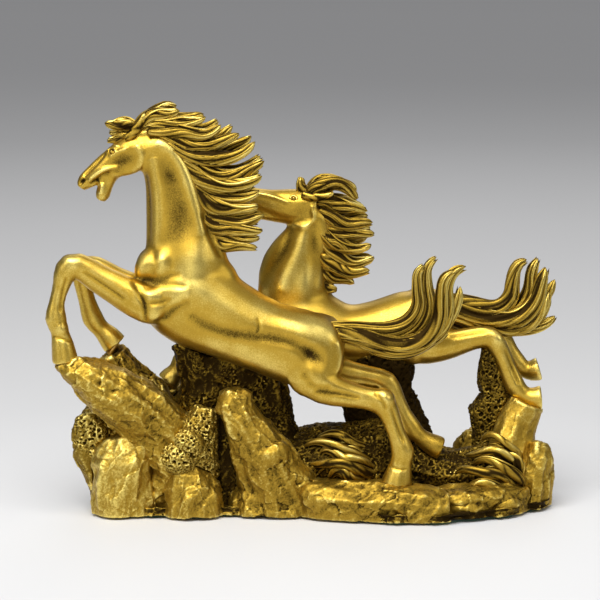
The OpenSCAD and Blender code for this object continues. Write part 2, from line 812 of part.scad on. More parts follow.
// A section of the far horse, less the lead horse's flesh too
module far_section() {
    finished(bronze) difference() {
        far_place() children(0);
        if ($children > 1) far_place() children([1:$children - 1]);
        dowel_holes();
    }
}

module lead_trunk() {
    lead_section() lead_trunk_shape();
}

module lead_neck() {
    lead_section() {
        lead_neck_shape();
        lead_trunk_shape();
    }
}

module lead_head() {
    lead_section() {
        lead_head_shape();
        lead_neck_shape();
    }
}

module lead_ears() {
    lead_section() {
        lead_ears_shape();
        lead_head_shape();
        lead_neck_shape();
    }
}

module lead_forelock() {
    lead_section() {
        lead_forelock_shape();
        lead_head_shape();
        lead_neck_shape();
        lead_ears_shape();
    }
}

module lead_mane() {
    lead_section() {
        lead_mane_shape();
        lead_forelock_shape();
        lead_ears_shape();
        lead_head_shape();
        lead_neck_shape();
        lead_trunk_shape();
    }
}

module lead_tail() {
    lead_section() {
        lead_tail_shape();
        lead_trunk_shape();
        lead_hindleg_near_shape();
        lead_hindleg_far_shape();
    }
}

module lead_foreleg_near() {
    lead_section() {
        lead_foreleg_near_shape();
        lead_trunk_shape();
        lead_neck_shape();
    }
}

module lead_foreleg_far() {
    lead_section() {
        lead_foreleg_far_shape();
        lead_trunk_shape();
        lead_neck_shape();
        lead_foreleg_near_shape();
    }
}

module lead_hindleg_near() {
    lead_section() {
        lead_hindleg_near_shape();
        lead_trunk_shape();
    }
}

module lead_hindleg_far() {
    lead_section() {
        lead_hindleg_far_shape();
        lead_trunk_shape();
        lead_hindleg_near_shape();
    }
}

module far_trunk() {
    far_section() far_trunk_shape();
}

module far_neck() {
    far_section() {
        far_neck_shape();
        far_trunk_shape();
    }
}

module far_head() {
    far_section() {
        far_head_shape();
        far_neck_shape();
    }
}

module far_ears() {
    far_section() {
        far_ears_shape();
        far_head_shape();
        far_neck_shape();
    }
}

module far_forelock() {
    far_section() {
        far_forelock_shape();
        far_head_shape();
        far_neck_shape();
        far_ears_shape();
    }
}

module far_mane() {
    far_section() {
        far_mane_shape();
        far_forelock_shape();
        far_ears_shape();
        far_head_shape();
        far_neck_shape();
        far_trunk_shape();
    }
}

module far_tail() {
    far_section() {
        far_tail_shape();
        far_trunk_shape();
        far_hindleg_near_shape();
        far_hindleg_far_shape();
    }
}

module far_foreleg_near() {
    far_section() {
        far_foreleg_near_shape();
        far_trunk_shape();
        far_neck_shape();
    }
}

module far_foreleg_far() {
    far_section() {
        far_foreleg_far_shape();
        far_trunk_shape();
        far_neck_shape();
        far_foreleg_near_shape();
    }
}

module far_hindleg_near() {
    far_section() {
        far_hindleg_near_shape();
        far_trunk_shape();
    }
}

module far_hindleg_far() {
    far_section() {
        far_hindleg_far_shape();
        far_trunk_shape();
        far_hindleg_near_shape();
    }
}

module hoof_dowels() {
    finished(bronze) dowels(hoof_dowel_list);
}

module belly_dowels() {
    finished(bronze) dowels(belly_dowel_list);
}

felt_pad();
ground_slab();
left_boulder();
left_shard();
leap_spur();
leap_spur_back();
mid_boulder();
porous_patch();
belly_wall();
front_spur();
front_ledge();
right_ledge();
haunch_rock();
croup_pillar();
hoof_stump();
porous_column();
end_rock();
back_boulders();
grass_front();
grass_right();
lead_trunk();
lead_neck();
lead_head();
lead_ears();
lead_forelock();
lead_mane();
lead_tail();
lead_foreleg_near();
lead_foreleg_far();
lead_hindleg_near();
lead_hindleg_far();
far_trunk();
far_neck();
far_head();
far_ears();
far_forelock();
far_mane();
far_tail();
far_foreleg_near();
far_foreleg_far();
far_hindleg_near();
far_hindleg_far();
hoof_dowels();
belly_dowels();
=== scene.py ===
"""Desk statue of two galloping horses on a rock base, finished around its cast sections."""

import math

import bmesh
import bpy
import numpy as np
from bpy.props import FloatProperty, FloatVectorProperty, IntProperty, PointerProperty
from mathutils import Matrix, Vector, noise
from mathutils.bvhtree import BVHTree


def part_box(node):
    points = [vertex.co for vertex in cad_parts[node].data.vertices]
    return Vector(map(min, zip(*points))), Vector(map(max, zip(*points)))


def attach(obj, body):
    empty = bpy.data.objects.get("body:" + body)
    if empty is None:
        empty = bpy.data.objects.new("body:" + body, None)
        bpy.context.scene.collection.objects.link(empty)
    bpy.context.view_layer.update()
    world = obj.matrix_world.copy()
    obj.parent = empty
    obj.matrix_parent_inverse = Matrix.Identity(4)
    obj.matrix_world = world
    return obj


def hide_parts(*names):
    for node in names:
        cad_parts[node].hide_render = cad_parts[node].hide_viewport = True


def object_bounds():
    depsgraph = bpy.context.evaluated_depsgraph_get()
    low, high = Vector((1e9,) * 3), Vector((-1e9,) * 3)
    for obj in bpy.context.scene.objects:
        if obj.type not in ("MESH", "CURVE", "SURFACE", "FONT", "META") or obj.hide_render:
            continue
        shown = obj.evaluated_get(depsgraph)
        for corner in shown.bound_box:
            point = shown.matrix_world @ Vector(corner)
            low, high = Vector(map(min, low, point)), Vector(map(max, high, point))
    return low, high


bl_info = {
    "name": "Galloping Horses Statue",
    "version": (1, 0, 0),
    "blender": (4, 5, 0),
    "location": "View3D > Sidebar > Statue",
    "description": "Builds the carved skin, hair, rocks and patina of a cast bronze horse statue",
    "category": "Object",
}

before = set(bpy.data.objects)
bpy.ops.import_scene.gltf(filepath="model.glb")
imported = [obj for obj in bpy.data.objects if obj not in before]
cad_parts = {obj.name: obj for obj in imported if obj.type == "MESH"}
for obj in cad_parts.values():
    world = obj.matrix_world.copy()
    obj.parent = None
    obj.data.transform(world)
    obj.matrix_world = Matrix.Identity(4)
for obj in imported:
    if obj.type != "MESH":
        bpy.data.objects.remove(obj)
CAD_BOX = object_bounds()

MM = 0.001
BODY = "root"
# Where the drawn shapes stand in the frame, in millimetres
CENTRE = np.array([-1.45, -1.0, 0.0])
LEAD = CENTRE + np.array([0.0, -14.0, -1.0])
FAR = CENTRE + np.array([0.0, 16.0, -5.0])

FLESH_SLOT = "polished_bronze"
HAIR_SLOT = "hair_bronze"
ROCK_SLOT = "rock_bronze"
POROUS_SLOT = "porous_bronze"
GRASS_SLOT = "grass_bronze"

GIRTH_Z = 84.6  # height of the lead horse's girth, which the camera looks at too
FLESH_VOXEL = 0.62
SPREAD = 0.5  # how far a rock widens below the ground plate
# What fine relief, broad relief, carving and the drawn patches of patina, painted shade and painted
# highlight add to the patina of the flesh and the rocks
FLESH_FINE, FLESH_BROAD, FLESH_CARVED, FLESH_PATINA_AND_PAINTED_LIGHT, FLESH_BASE = 2.6, 0.35, 0.3, 0.36, 0.06
ROCK_FINE, ROCK_BROAD = 1.9, 0.75
LEGS = ("foreleg_near", "foreleg_far", "hindleg_near", "hindleg_far")


# ---- Mesh helpers ---------------------------------------------------------------------
def deselect():
    if bpy.context.object is not None and bpy.context.object.mode != "OBJECT":
        bpy.ops.object.mode_set(mode="OBJECT")
    bpy.ops.object.select_all(action="DESELECT")


def activate(piece):
    deselect()
    piece.select_set(True)
    bpy.context.view_layer.objects.active = piece


def add_object(name, data):
    piece = bpy.data.objects.new(name, data)
    bpy.context.scene.collection.objects.link(piece)
    return piece


def aim(holder, place, way):
    """Puts a lamp or camera at its place, looking along its way."""
    holder.location = place
    holder.rotation_euler = way.to_track_quat("-Z", "Y").to_euler()


def edit_whole(piece, operator, **values):
    """Runs an edit mode operator on the whole of a piece."""
    activate(piece)
    bpy.ops.object.mode_set(mode="EDIT")
    bpy.ops.mesh.select_all(action="SELECT")
    operator(**values)
    bpy.ops.object.mode_set(mode="OBJECT")


def copy_of_nodes(name, nodes):
    """One object holding merged copies of the cast sections."""
    copies = []
    for node in nodes:
        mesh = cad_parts[node].data.copy()
        mesh.materials.clear()
        copies.append(add_object(name, mesh))
        edit_whole(copies[-1], bpy.ops.mesh.remove_doubles, threshold=0.002 * MM)
    deselect()
    for piece in copies:
        piece.select_set(True)
    bpy.context.view_layer.objects.active = copies[0]
    if len(copies) > 1:
        bpy.ops.object.join()
    piece = bpy.context.view_layer.objects.active
    piece.name = name
    return piece


def remesh(piece, voxel):
    activate(piece)
    modifier = piece.modifiers.new("Skin", "REMESH")
    modifier.mode = "VOXEL"
    modifier.voxel_size = voxel * MM
    modifier.use_smooth_shade = True
    bpy.ops.object.modifier_apply(modifier=modifier.name)


def points_of(mesh):
    flat = np.empty(len(mesh.vertices) * 3)
    mesh.vertices.foreach_get("co", flat)
    return flat.reshape(-1, 3) / MM


def normals_of(mesh):
    flat = np.empty(len(mesh.vertices) * 3, np.float32)
    mesh.vertex_normals.foreach_get("vector", flat)
    return flat.reshape(-1, 3).astype(float)


def write_points(mesh, points):
    mesh.vertices.foreach_set("co", (points * MM).astype(np.float32).ravel())
    mesh.update()


def write_relief(mesh, relief):
    """Stores how far each point stands out, from -1 in a crevice to 1 on a ridge."""
    layer = mesh.attributes.get("relief") or mesh.attributes.new("relief", "FLOAT", "POINT")
    layer.data.foreach_set("value", np.clip(relief, -1, 1).astype(np.float32))


class Neighbours:
    """The mean of each point's neighbours along the edges of a mesh."""

    def __init__(self, mesh):
        ends = np.empty(len(mesh.edges) * 2, np.int64)
        mesh.edges.foreach_get("vertices", ends)
        self.ends = ends.reshape(-1, 2)
        self.size = len(mesh.vertices)
        self.degree = np.maximum(np.bincount(ends, minlength=self.size), 1)

    def mean(self, values):
        a, b = self.ends[:, 0], self.ends[:, 1]
        if values.ndim == 1:
            total = np.bincount(a, values[b], self.size) + np.bincount(b, values[a], self.size)
            return total / self.degree
        return np.stack([self.mean(values[:, k]) for k in range(values.shape[1])], axis=1)

    def blur(self, values, rounds):
        for _ in range(rounds):
            values = 0.5 * values + 0.5 * self.mean(values)
        return values

    def smooth(self, points, rounds, shrink=0.5, grow=0.53):
        """Smooths without shrinking, by a step in and a slightly larger step out."""
        for _ in range(rounds):
            points = points + shrink * (self.mean(points) - points)
            points = points - grow * (self.mean(points) - points)
        return points


def standing_out(mesh, near, fine, coarse):
    """How far each point stands out from its surroundings, in millimetres, at two sizes."""
    points, normals = points_of(mesh), normals_of(mesh)
    level = near.blur(points, fine)
    small = np.einsum("ij,ij->i", points - level, normals)
    large = np.einsum("ij,ij->i", points - near.blur(level, coarse), normals)
    return small, large


def finish_piece(piece, slot, nodes):
    activate(piece)
    piece.data.materials.clear()
    piece.data.materials.append(cast_bronze(slot))
    bpy.ops.object.shade_smooth()
    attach(piece, BODY)
    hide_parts(*nodes)
    deselect()


# ---- Materials ------------------------------------------------------------------------
class Wiring:
    """Adds nodes to a tree and links their inputs by name or number."""

    def __init__(self, tree):
        self.tree = tree

    def node(self, kind, inputs=None, **settings):
        made = self.tree.nodes.new(kind)
        for key, value in settings.items():
            setattr(made, key, value)
        for key, value in (inputs or {}).items():
            if isinstance(value, bpy.types.NodeSocket):
                self.tree.links.new(value, made.inputs[key])
            else:
                made.inputs[key].default_value = value
        return made

    def math(self, operation, a, b):
        return self.node("ShaderNodeMath", {0: a, 1: b}, operation=operation).outputs[0]

    def mix(self, share, a, b):
        """Mixes two colours; a mix node's colour sockets are its inputs 6 and 7 and its output 2."""
        return self.node("ShaderNodeMix", {0: share, 6: a, 7: b}, data_type="RGBA").outputs[2]

    def between(self, value, low, high, to_low=0.0, to_high=1.0, ease="SMOOTHSTEP"):
        ends = {"From Min": low, "From Max": high, "To Min": to_low, "To Max": to_high}
        made = self.node("ShaderNodeMapRange", {"Value": value, **ends}, interpolation_type=ease)
        return made.outputs["Result"]

    def noise(self, scale, detail, roughness, place):
        inputs = {"Vector": place, "Scale": scale, "Detail": detail, "Roughness": roughness}
        return self.node("ShaderNodeTexNoise", inputs).outputs["Fac"]

    def surface(self, inputs):
        shader = self.node("ShaderNodeBsdfPrincipled", inputs)
        self.node("ShaderNodeOutputMaterial", {"Surface": shader.outputs["BSDF"]})


# Inputs of the patina's node group, after the relief
PATINA = {
    "Crevice": (0.03, 0.02, 0.01, 1), "Metal": (0.6, 0.4, 0.1, 1), "Rubbed": (0.9, 0.7, 0.3, 1),
    "Mottle": 0.5, "Speckle": 0.3, "Grain Scale": 900.0, "Smoothest": 0.3, "Roughest": 0.6,
}


def patina_group():
    """Node group: brown patina left in the crevices, gold rubbed bright on what stands out."""
    group = bpy.data.node_groups.new("Patina", "ShaderNodeTree")
    for name, value in (("Relief", 0.0), *PATINA.items()):
        kind = "NodeSocketColor" if isinstance(value, tuple) else "NodeSocketFloat"
        group.interface.new_socket(name, in_out="INPUT", socket_type=kind).default_value = value
    for name, kind in (("Color", "Color"), ("Roughness", "Float"), ("Grain", "Float")):
        group.interface.new_socket(name, in_out="OUTPUT", socket_type=f"NodeSocket{kind}")
    wire = Wiring(group)
    given = wire.node("NodeGroupInput").outputs
    place = wire.node("ShaderNodeTexCoord").outputs["Object"]
    cloud = wire.noise(85.0, 4.0, 0.6, place)
    speck = wire.noise(given["Grain Scale"], 3.0, 0.65, place)
    grain = wire.noise(wire.math("MULTIPLY", given["Grain Scale"], 2.3), 2.0, 0.6, place)
    drift = wire.math("MULTIPLY", wire.math("SUBTRACT", cloud, 0.5), given["Mottle"])
    fleck = wire.math("MULTIPLY", wire.math("SUBTRACT", speck, 0.5), given["Speckle"])
    level = wire.math("ADD", wire.math("ADD", given["Relief"], drift), fleck)
    body = wire.mix(wire.between(level, -0.85, 0.05), given["Crevice"], given["Metal"])
    color = wire.mix(wire.between(level, 0.0, 0.9), body, given["Rubbed"])
    rough = wire.between(level, -0.8, 0.8, given["Roughest"], given["Smoothest"], "LINEAR")
    height = wire.math("ADD", wire.math("MULTIPLY", speck, 0.6), wire.math("MULTIPLY", grain, 0.4))
    wire.node("NodeGroupOutput", {"Color": color, "Roughness": rough, "Grain": height})
    return group


def new_material(name):
    """An empty material, and the wiring of its nodes."""
    material = bpy.data.materials.new(name)
    material.use_nodes = True
    material.node_tree.nodes.clear()
    return material, Wiring(material.node_tree)


def bronze(name, crevice, metal, rubbed, mottle, speckle, grain_scale, smoothest, roughest, bump):
    """Bronze: what makes it polished, hair, rock or porous is only its numbers."""
    material, wire = new_material(name)
    relief = wire.node("ShaderNodeAttribute", attribute_name="relief").outputs["Fac"]
    values = ((*crevice, 1), (*metal, 1), (*rubbed, 1), mottle, speckle, grain_scale, smoothest, roughest)
    group = bpy.data.node_groups.get("Patina") or patina_group()
    color, roughness, grain = wire.node(
        "ShaderNodeGroup", {"Relief": relief, **dict(zip(PATINA, values))}, node_tree=group).outputs
    lump = wire.node("ShaderNodeBump", {"Height": grain, "Strength": bump, "Distance": 0.25 * MM})
    wire.surface({"Base Color": color, "Roughness": roughness, "Normal": lump.outputs["Normal"],
                  "Metallic": 1.0})
    return material


# Bronze of each slot: name, tone setting of its metal, mottle, speckle, grain scale, smoothest,
# roughest and bump
BRONZES = {
    FLESH_SLOT: ("Polished bronze", None, 0.75, 1.0, 1900.0, 0.27, 0.46, 0.36),
    HAIR_SLOT: ("Hair bronze", "hair_tone", 0.5, 0.7, 1900.0, 0.32, 0.62, 0.3),
    ROCK_SLOT: ("Rock bronze", "rock_tone", 0.9, 1.1, 1500.0, 0.36, 0.65, 0.65),
    POROUS_SLOT: ("Porous bronze", "porous_tone_and_shade", 0.9, 1.0, 1500.0, 0.36, 0.7, 0.7),
    GRASS_SLOT: ("Grass bronze", "hair_tone", 0.5, 0.5, 1200.0, 0.34, 0.6, 0.3),
}


def cast_bronze(slot):
    """The bronze of one slot, mixed from the settings when it is first needed."""
    name, tone_setting, *numbers = BRONZES[slot]
    if name in bpy.data.materials:
        return bpy.data.materials[name]
    finish = bpy.context.scene.statue_finish
    tone = getattr(finish, tone_setting) if tone_setting else 1.0
    rubbed_tone = 0.5 + 0.5 * tone if slot == HAIR_SLOT else 1.0
    metal = [c * tone for c in finish.metal]
    rubbed = [c * rubbed_tone for c in finish.rubbed]
    return bronze(name, finish.crevice, metal, rubbed, *numbers)


# ---- Carving the flesh ----------------------------------------------------------------
# A bulge is (x, z, heading, half length, half width, height), a fold is ([(x, z), ...],
# half width, height). Both lie in the horse's own side view, in millimetres; a negative
# height is a hollow.

def bulge_at(x, z, bulge):
    cx, cz, heading, long, wide, height = bulge
    turn = math.radians(heading)
    along = (x - cx) * math.cos(turn) + (z - cz) * math.sin(turn)
    across = (z - cz) * math.cos(turn) - (x - cx) * math.sin(turn)
    return height * np.exp(-((along / long) ** 2) - (across / wide) ** 2)


def curve_through(route, steps=6):
    """Points on a smooth curve through the route."""
    out = []
    for i in range(len(route) - 1):
        a, b, c, d = (np.array(route[min(max(k, 0), len(route) - 1)], float) for k in range(i - 1, i + 3))
        for s in range(steps):
            t = s / steps
            out.append(0.5 * (2 * b + (c - a) * t + (2 * a - 5 * b + 4 * c - d) * t * t
                              + (3 * b - a - 3 * c + d) * t ** 3))
    out.append(np.array(route[-1], float))
    return out


def fold_at(x, z, fold):
    route, wide, height = fold
    line = curve_through(route)
    nearest = np.full(len(x), 1e9)
    share = np.zeros(len(x))
    for i in range(len(line) - 1):
        a, b = line[i], line[i + 1]
        run = b - a
        t = np.clip(((x - a[0]) * run[0] + (z - a[1]) * run[1]) / max(run @ run, 1e-9), 0, 1)
        away = np.hypot(x - a[0] - t * run[0], z - a[1] - t * run[1])
        closer = away < nearest
        nearest = np.where(closer, away, nearest)
        share = np.where(closer, (i + t) / (len(line) - 1), share)
    taper = np.sqrt(np.clip(4 * share * (1 - share), 0, 1)) * 0.8 + 0.2
    return height * taper * np.exp(-((nearest / (wide * (0.5 + 0.5 * taper))) ** 2))


def side_view(points, origin, enlarged):
    """Each point's place in the horse's side view, drawn enlarged about its girth."""
    local = points - origin
    return local[:, 0] * enlarged, GIRTH_Z + (local[:, 2] - GIRTH_Z) * enlarged


def carve(piece, origin, bulges, folds, enlarged):
    """Raises the bulges and folds on both flanks, and returns their summed height."""
    mesh = piece.data
    points, normals = points_of(mesh), normals_of(mesh)
    x, z = side_view(points, origin, enlarged)
    height = sum(bulge_at(x, z, b) for b in bulges) + sum(fold_at(x, z, f) for f in folds)
    flank = np.clip(np.abs(normals[:, 1]) * 1.5, 0, 1)
    height = height * flank
    write_points(mesh, points + normals * height[:, None])
    return height


# Lumps of muscle: (x, y, z, half length, half width, half height, heading of the length)
LEAD_LUMPS = [
    (-60.4, -4.2, 102.4, 7, 4.8, 4.4, 66), (-60.4, 4.2, 102.4, 7, 4.8, 4.4, 66),
    (-54.6, -7, 102.6, 7, 4, 4.6, 76), (-54.6, 7, 102.6, 7, 4, 4.6, 76), (-61.6, 0, 154, 5, 3.6, 2.8, 10),
    (-30, 0, 98, 7, 7, 5, -58), (-36, 0, 103, 8, 7.4, 6, -62), (-90.6, -8, 104, 3.8, 4.2, 3.4, 20),
    (-94.4, -8, 78, 4, 4.1, 3.4, -70), (33.4, -8, 49.8, 4.8, 4, 4, -50),
]
FAR_LUMPS = [
    (-12, 0, 94, 7, 7, 4.6, 80), (-39, -8, 79.6, 4, 4.2, 3.6, -30), (78, -8, 72, 4.6, 3.9, 3.8, -40),
]
LEAD_BULGES = [
    (-61, 103, 62, 5, 3.2, 0.5), (-54.2, 105, 78, 5.4, 3, 0.6), (-42, 103, 80, 12, 7.5, 1.3),
    (-58, 84, 40, 4.5, 3.2, 0.9), (-50, 90, 20, 5, 3, 0.7), (5.5, 67, -35, 5, 3.2, -1.3),
    (0, 78, -20, 11, 4.5, 0.8), (8, 58, 10, 7, 4, 0.7), (-70.2, 144.6, 28, 5, 3, -1.5),
    (-90, 104.6, 60, 3.2, 2.8, 0.6), (33.4, 49.6, -60, 3.4, 2.6, 0.5), (-47.5, 122, 95, 12, 5, -0.55),
    (-51, 139, 110, 7, 3.2, -0.8), (-86.4, 136.2, 50, 1.5, 0.8, -1.3), (-81.8, 134.6, 20, 2.2, 1.2, 0.7),
    (-78.5, 130.4, 70, 2.6, 1.6, 0.6),
]
LEAD_FOLDS = [
    ([(-58.6, 146), (-57, 138), (-56, 128), (-56.2, 118), (-57.2, 110)], 3.1, 1.0),
    ([(-61, 139), (-60, 126), (-60.2, 112)], 1.5, -0.7),
    ([(-57, 152.5), (-50.5, 148.5), (-45, 138), (-41.6, 126), (-38.6, 115)], 2.8, 1.2),
    ([(-38.6, 124), (-35, 114), (-31, 106)], 1.6, -0.9),
    ([(-65, 151), (-63, 147.5), (-63.4, 143), (-66.5, 139.8), (-71, 138.8), (-75, 139.6)], 1.8, 1.0),
    ([(-77.4, 147.4), (-81.8, 142.6), (-85.8, 138.2)], 0.8, -1.1),
    ([(-72, 142), (-77.5, 141), (-82, 138.2), (-83.6, 136)], 1.0, 1.0),
    ([(-75.6, 139.6), (-78.4, 138.4), (-80.6, 136.2)], 0.8, -0.9),
    ([(-79.8, 136.6), (-78.4, 134), (-79.4, 131)], 0.9, 0.9),
    ([(-79, 149), (-76, 150.6), (-72, 150.2)], 0.9, 0.9),
    ([(-68.5, 149.6), (-72, 148), (-75.5, 146)], 0.9, 0.7),
    ([(-58.2, 109), (-57.2, 104), (-58.4, 99.6)], 1.4, -0.35),
    ([(-65.4, 98.4), (-60.4, 97.2), (-54, 98.2), (-47, 100.4)], 2.0, -0.6),
    ([(-66.4, 98), (-63.4, 93), (-61.4, 88), (-61.2, 81)], 1.3, -1.0),
    ([(-62, 94.4), (-58, 95.4), (-52, 96), (-45.6, 95.2)], 1.2, -0.45),
    ([(-60.4, 91.8), (-54.4, 93.4), (-48, 93.6), (-43.6, 92.4)], 2.6, 0.5),
    ([(-60, 88.6), (-55.6, 89), (-50.6, 90.6)], 1.3, -0.5),
    ([(-57.6, 80.4), (-53, 83), (-49, 87), (-44, 89.6)], 1.8, -0.8),
    ([(-44, 84), (-37, 79.4), (-30, 76.8), (-20, 75.4), (-10, 74.6), (-1, 72), (5, 67.5)], 3.0, -1.1),
    ([(-17, 82.5), (-16.4, 79.6), (-17, 77)], 0.7, -0.5),
    ([(6, 53.2), (14, 52.4), (24, 50.4)], 1.4, -1.0),
    ([(1, 61), (5, 56), (12, 54.4)], 1.6, -0.7),
    ([(14.6, 73), (16, 67), (15, 60)], 1.4, 0.8),
    ([(-85.5, 101.2), (-77.5, 96), (-69.5, 90.4)], 1.2, -0.8),
    ([(-92.6, 99), (-94.4, 92), (-95.2, 85)], 0.7, -0.6),
    ([(-98.6, 75.2), (-94, 74.2), (-90, 73)], 0.6, -0.5),
    ([(36.4, 46.5), (38.6, 39.5), (41.4, 32)], 0.7, -0.6),
    ([(34.6, 23.5), (38.6, 21.6), (43, 21.6)], 0.6, -0.5),
    ([(30, 52), (33, 49), (34, 46)], 0.8, -0.6),
]
# Darkening patches are partly patina in the hollows and partly painted shade, as down the neck, along the
# barrel, on the cheek and in the nostril, mouth and eye; brightening patches are painted highlights along
# the shoulder, back, lower barrel and haunch. Both are drawn as bulges and folds are, but only darken or
# brighten the metal
LEAD_PATINA_AND_PAINTED_LIGHT = [
    ([(-57, 146), (-53, 138), (-50, 129), (-48, 120), (-48, 112)], 9, -0.62),
    (-46, 118, 105, 10, 7, -0.5), ([(-60.5, 140), (-60.5, 128), (-60, 113)], 2.6, -0.5),
    (-69.8, 145, 28, 5.5, 3.6, -0.6), ([(-37, 128), (-34.6, 118), (-31.6, 108)], 2.2, -0.5),
    (-58, 97.2, 5, 7, 2.4, -0.7), (54, 29, -35, 11, 5, -1.7),
    ([(-83.6, 135.4), (-80.8, 136.8), (-79, 135)], 0.9, -2.4), (-86.4, 136.4, 50, 1.2, 0.8, -2.2),
    ([(-76, 141), (-72, 139.8), (-66, 139.2)], 1.0, -0.9), (-75.6, 148.4, 30, 1.6, 1, -1.6),
    ([(-46, 87), (-38, 80.5), (-28, 77), (-14, 75.4), (0, 72), (6, 66)], 4.8, -0.42),
    (5, 67, -50, 6, 4, -0.25), ([(-8, 81), (4, 78.5), (13, 74)], 3, 0.8),
    ([(-50, 101), (-38, 93), (-24, 86.5), (-8, 84)], 3.4, 0.5),
    ([(-62, 92), (-61, 85), (-58, 80)], 2.2, -0.5), (-54, 86, 20, 6, 3, -0.4), (8, 52, 0, 9, 2, -0.4),
    ([(14, 74), (16.6, 66), (15, 58)], 1.8, -0.4), ([(-38, 73), (-20, 66.5), (-2, 59)], 5.4, 1.1),
    ([(26, 76), (38, 66), (40, 54)], 4.5, 0.4),
]
# Patches of the far horse: darkening that is partly patina and partly painted shade, as under the jaw, down
# the neck and along the belly
FAR_PATINA_AND_PAINTED_LIGHT = [
    ([(-2, 118), (-5, 110), (-10, 99)], 4, -0.8), ([(8, 122), (13, 110), (13, 98)], 2.6, -0.6),
    (-2, 123, 20, 5, 3, -0.5), ([(12, 78), (26, 72), (42, 78)], 4, -0.5), (60, 72, 0, 9, 3, -0.4),
]
FAR_BULGES = [
    (-9, 92, 70, 8, 5, 1.2), (2, 96, 80, 8, 4, 1.0), (6, 112, 100, 8, 3, -1.2), (50, 80, -10, 9, 5, 0.8),
    (79, 74, -60, 3.4, 2.6, 0.8), (1, 122.6, 20, 4, 3, -0.5), (-40, 79, 0, 3, 2.6, 0.7),
]
FAR_FOLDS = [
    ([(-4, 117), (-6, 109), (-11, 102), (-15, 94)], 2.4, -0.8),
    ([(3, 119), (0, 110), (-4, 101), (-8, 92)], 3.2, 0.7),
    ([(9, 122), (11, 112), (10, 101), (7, 92)], 2.6, 0.7),
    ([(4.6, 126), (5.6, 121), (2, 117.6), (-3, 118.2)], 1.2, 0.8),
    ([(-4, 127), (-12, 129.6), (-20, 131)], 0.8, 0.6),
    ([(10, 78), (24, 73.6), (38, 77)], 2.6, -0.9),
    ([(60, 74), (67, 75.6), (74, 76.4)], 1.0, -0.6),
    ([(81.6, 69), (84.4, 62), (87, 55)], 0.7, -0.6),
]


def subdivide_where(piece, inside):
    """Splits the faces whose points all pass the test, for finer carving there."""
    shape = bmesh.new()
    shape.from_mesh(piece.data)
    edges = [e for e in shape.edges if all(inside(v.co / MM) for v in e.verts)]
    bmesh.ops.subdivide_edges(shape, edges=edges, cuts=1, use_grid_fill=True)
    shape.to_mesh(piece.data)
    shape.free()


def eye(points, centre, reach):
    """Height of a lidded eye: a ball in a groove, under a brow."""
    away = np.linalg.norm((points - centre) * np.array([1.0, 0.6, 1.25]), axis=1) / reach
    ball = 0.9 * np.exp(-((away / 0.55) ** 4))
    groove = -0.55 * np.exp(-(((away - 0.85) / 0.22) ** 2))
    lid = 0.5 * np.exp(-(((away - 1.25) / 0.3) ** 2)) * (points[:, 2] > centre[2] - 0.2)
    return ball + groove + lid


def add_lumps(piece, origin, lumps):
    """Joins rounded lumps to a piece, to be fused with it."""
    for x, y, z, long, wide, high, turn in lumps:
        deselect()
        place = (origin + np.array([x, y, z])) * MM
        bpy.ops.mesh.primitive_uv_sphere_add(
            segments=32, ring_count=20, radius=1, location=place, rotation=(0, -math.radians(turn), 0),
            scale=(long * MM, wide * MM, high * MM))
        bpy.ops.object.transform_apply(location=True, rotation=True, scale=True)
        piece.select_set(True)
        bpy.context.view_layer.objects.active = piece
        bpy.ops.object.join()


def eased(points, near, rounds):
    """Smooths the points over some rounds, and gives back most of what they shrank."""
    level = near.blur(points, rounds)
    return level + near.blur(points - level, rounds)


def melt(points, near, softness):
    """Smooths away the facets: softness 1 rounds off all that is under a centimetre across."""
    light, heavy = eased(points, near, 6), eased(points, near, 60)
    return light + softness[:, None] * (heavy - light)


def softness_of(points, nodes, near, thigh):
    """How far each point may be smoothed, from the cast section that lies nearest to it."""
    amounts = {"trunk": 1.0, "neck": 1.0, "head": 0.0}
    best = np.full(len(points), 1e9)
    softness = np.zeros(len(points))
    for node in nodes:
        surface = BVHTree.FromObject(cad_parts[node], bpy.context.evaluated_depsgraph_get())
        amount = amounts.get(node.split("_")[1], 0.3)
        if "hindleg" in node:
            amount = 0.3 + 0.7 * np.clip((points[:, 2] - thigh) / 7, 0, 1)
        away = np.array([surface.find_nearest(p)[3] for p in (points * MM).tolist()])
        closer = away < best
        best = np.where(closer, away, best)
        softness = np.where(closer, amount, softness)
    return near.blur(softness, 24)


def make_flesh(horse, origin, lumps, bulges, folds, patina_and_light_patches, eye_at, head_from, enlarged, thigh):
    """Skin of one horse, from the eye's place and reach and the height at which the haunch starts."""
    nodes = [f"{horse}_{part}" for part in ("trunk", "neck", "head", *LEGS)]
    piece = copy_of_nodes(f"{horse}_flesh", nodes)
    add_lumps(piece, origin, lumps)
    remesh(piece, FLESH_VOXEL)
    mesh = piece.data
    near = Neighbours(mesh)
    points = points_of(mesh)
    write_points(mesh, melt(points, near, softness_of(points, nodes, near, thigh)))
    subdivide_where(piece, head_from)
    near = Neighbours(mesh)
    height = carve(piece, origin, bulges, folds, enlarged)
    points, normals = points_of(mesh), normals_of(mesh)
    x, y, z, reach = eye_at
    for side in (-1, 1):
        dent = eye(points, origin + np.array([x, side * y, z]), reach)
        points = points + normals * dent[:, None]
        height = height + dent
    write_points(mesh, near.smooth(points, 2))
    small, large = standing_out(mesh, near, 4, 26)
    x, z = side_view(points_of(mesh), origin, enlarged)
    # Patches of patina, painted shade and painted highlight, added to the relief as colour only
    tone_and_painted_light = FLESH_PATINA_AND_PAINTED_LIGHT * sum(bulge_at(x, z, s) if len(s) == 6 else fold_at(x, z, s) for s in patina_and_light_patches)
    carved = FLESH_CARVED * near.blur(height, 5)
    write_relief(mesh, FLESH_FINE * small + FLESH_BROAD * large + carved + tone_and_painted_light + FLESH_BASE)
    finish_piece(piece, FLESH_SLOT, nodes)


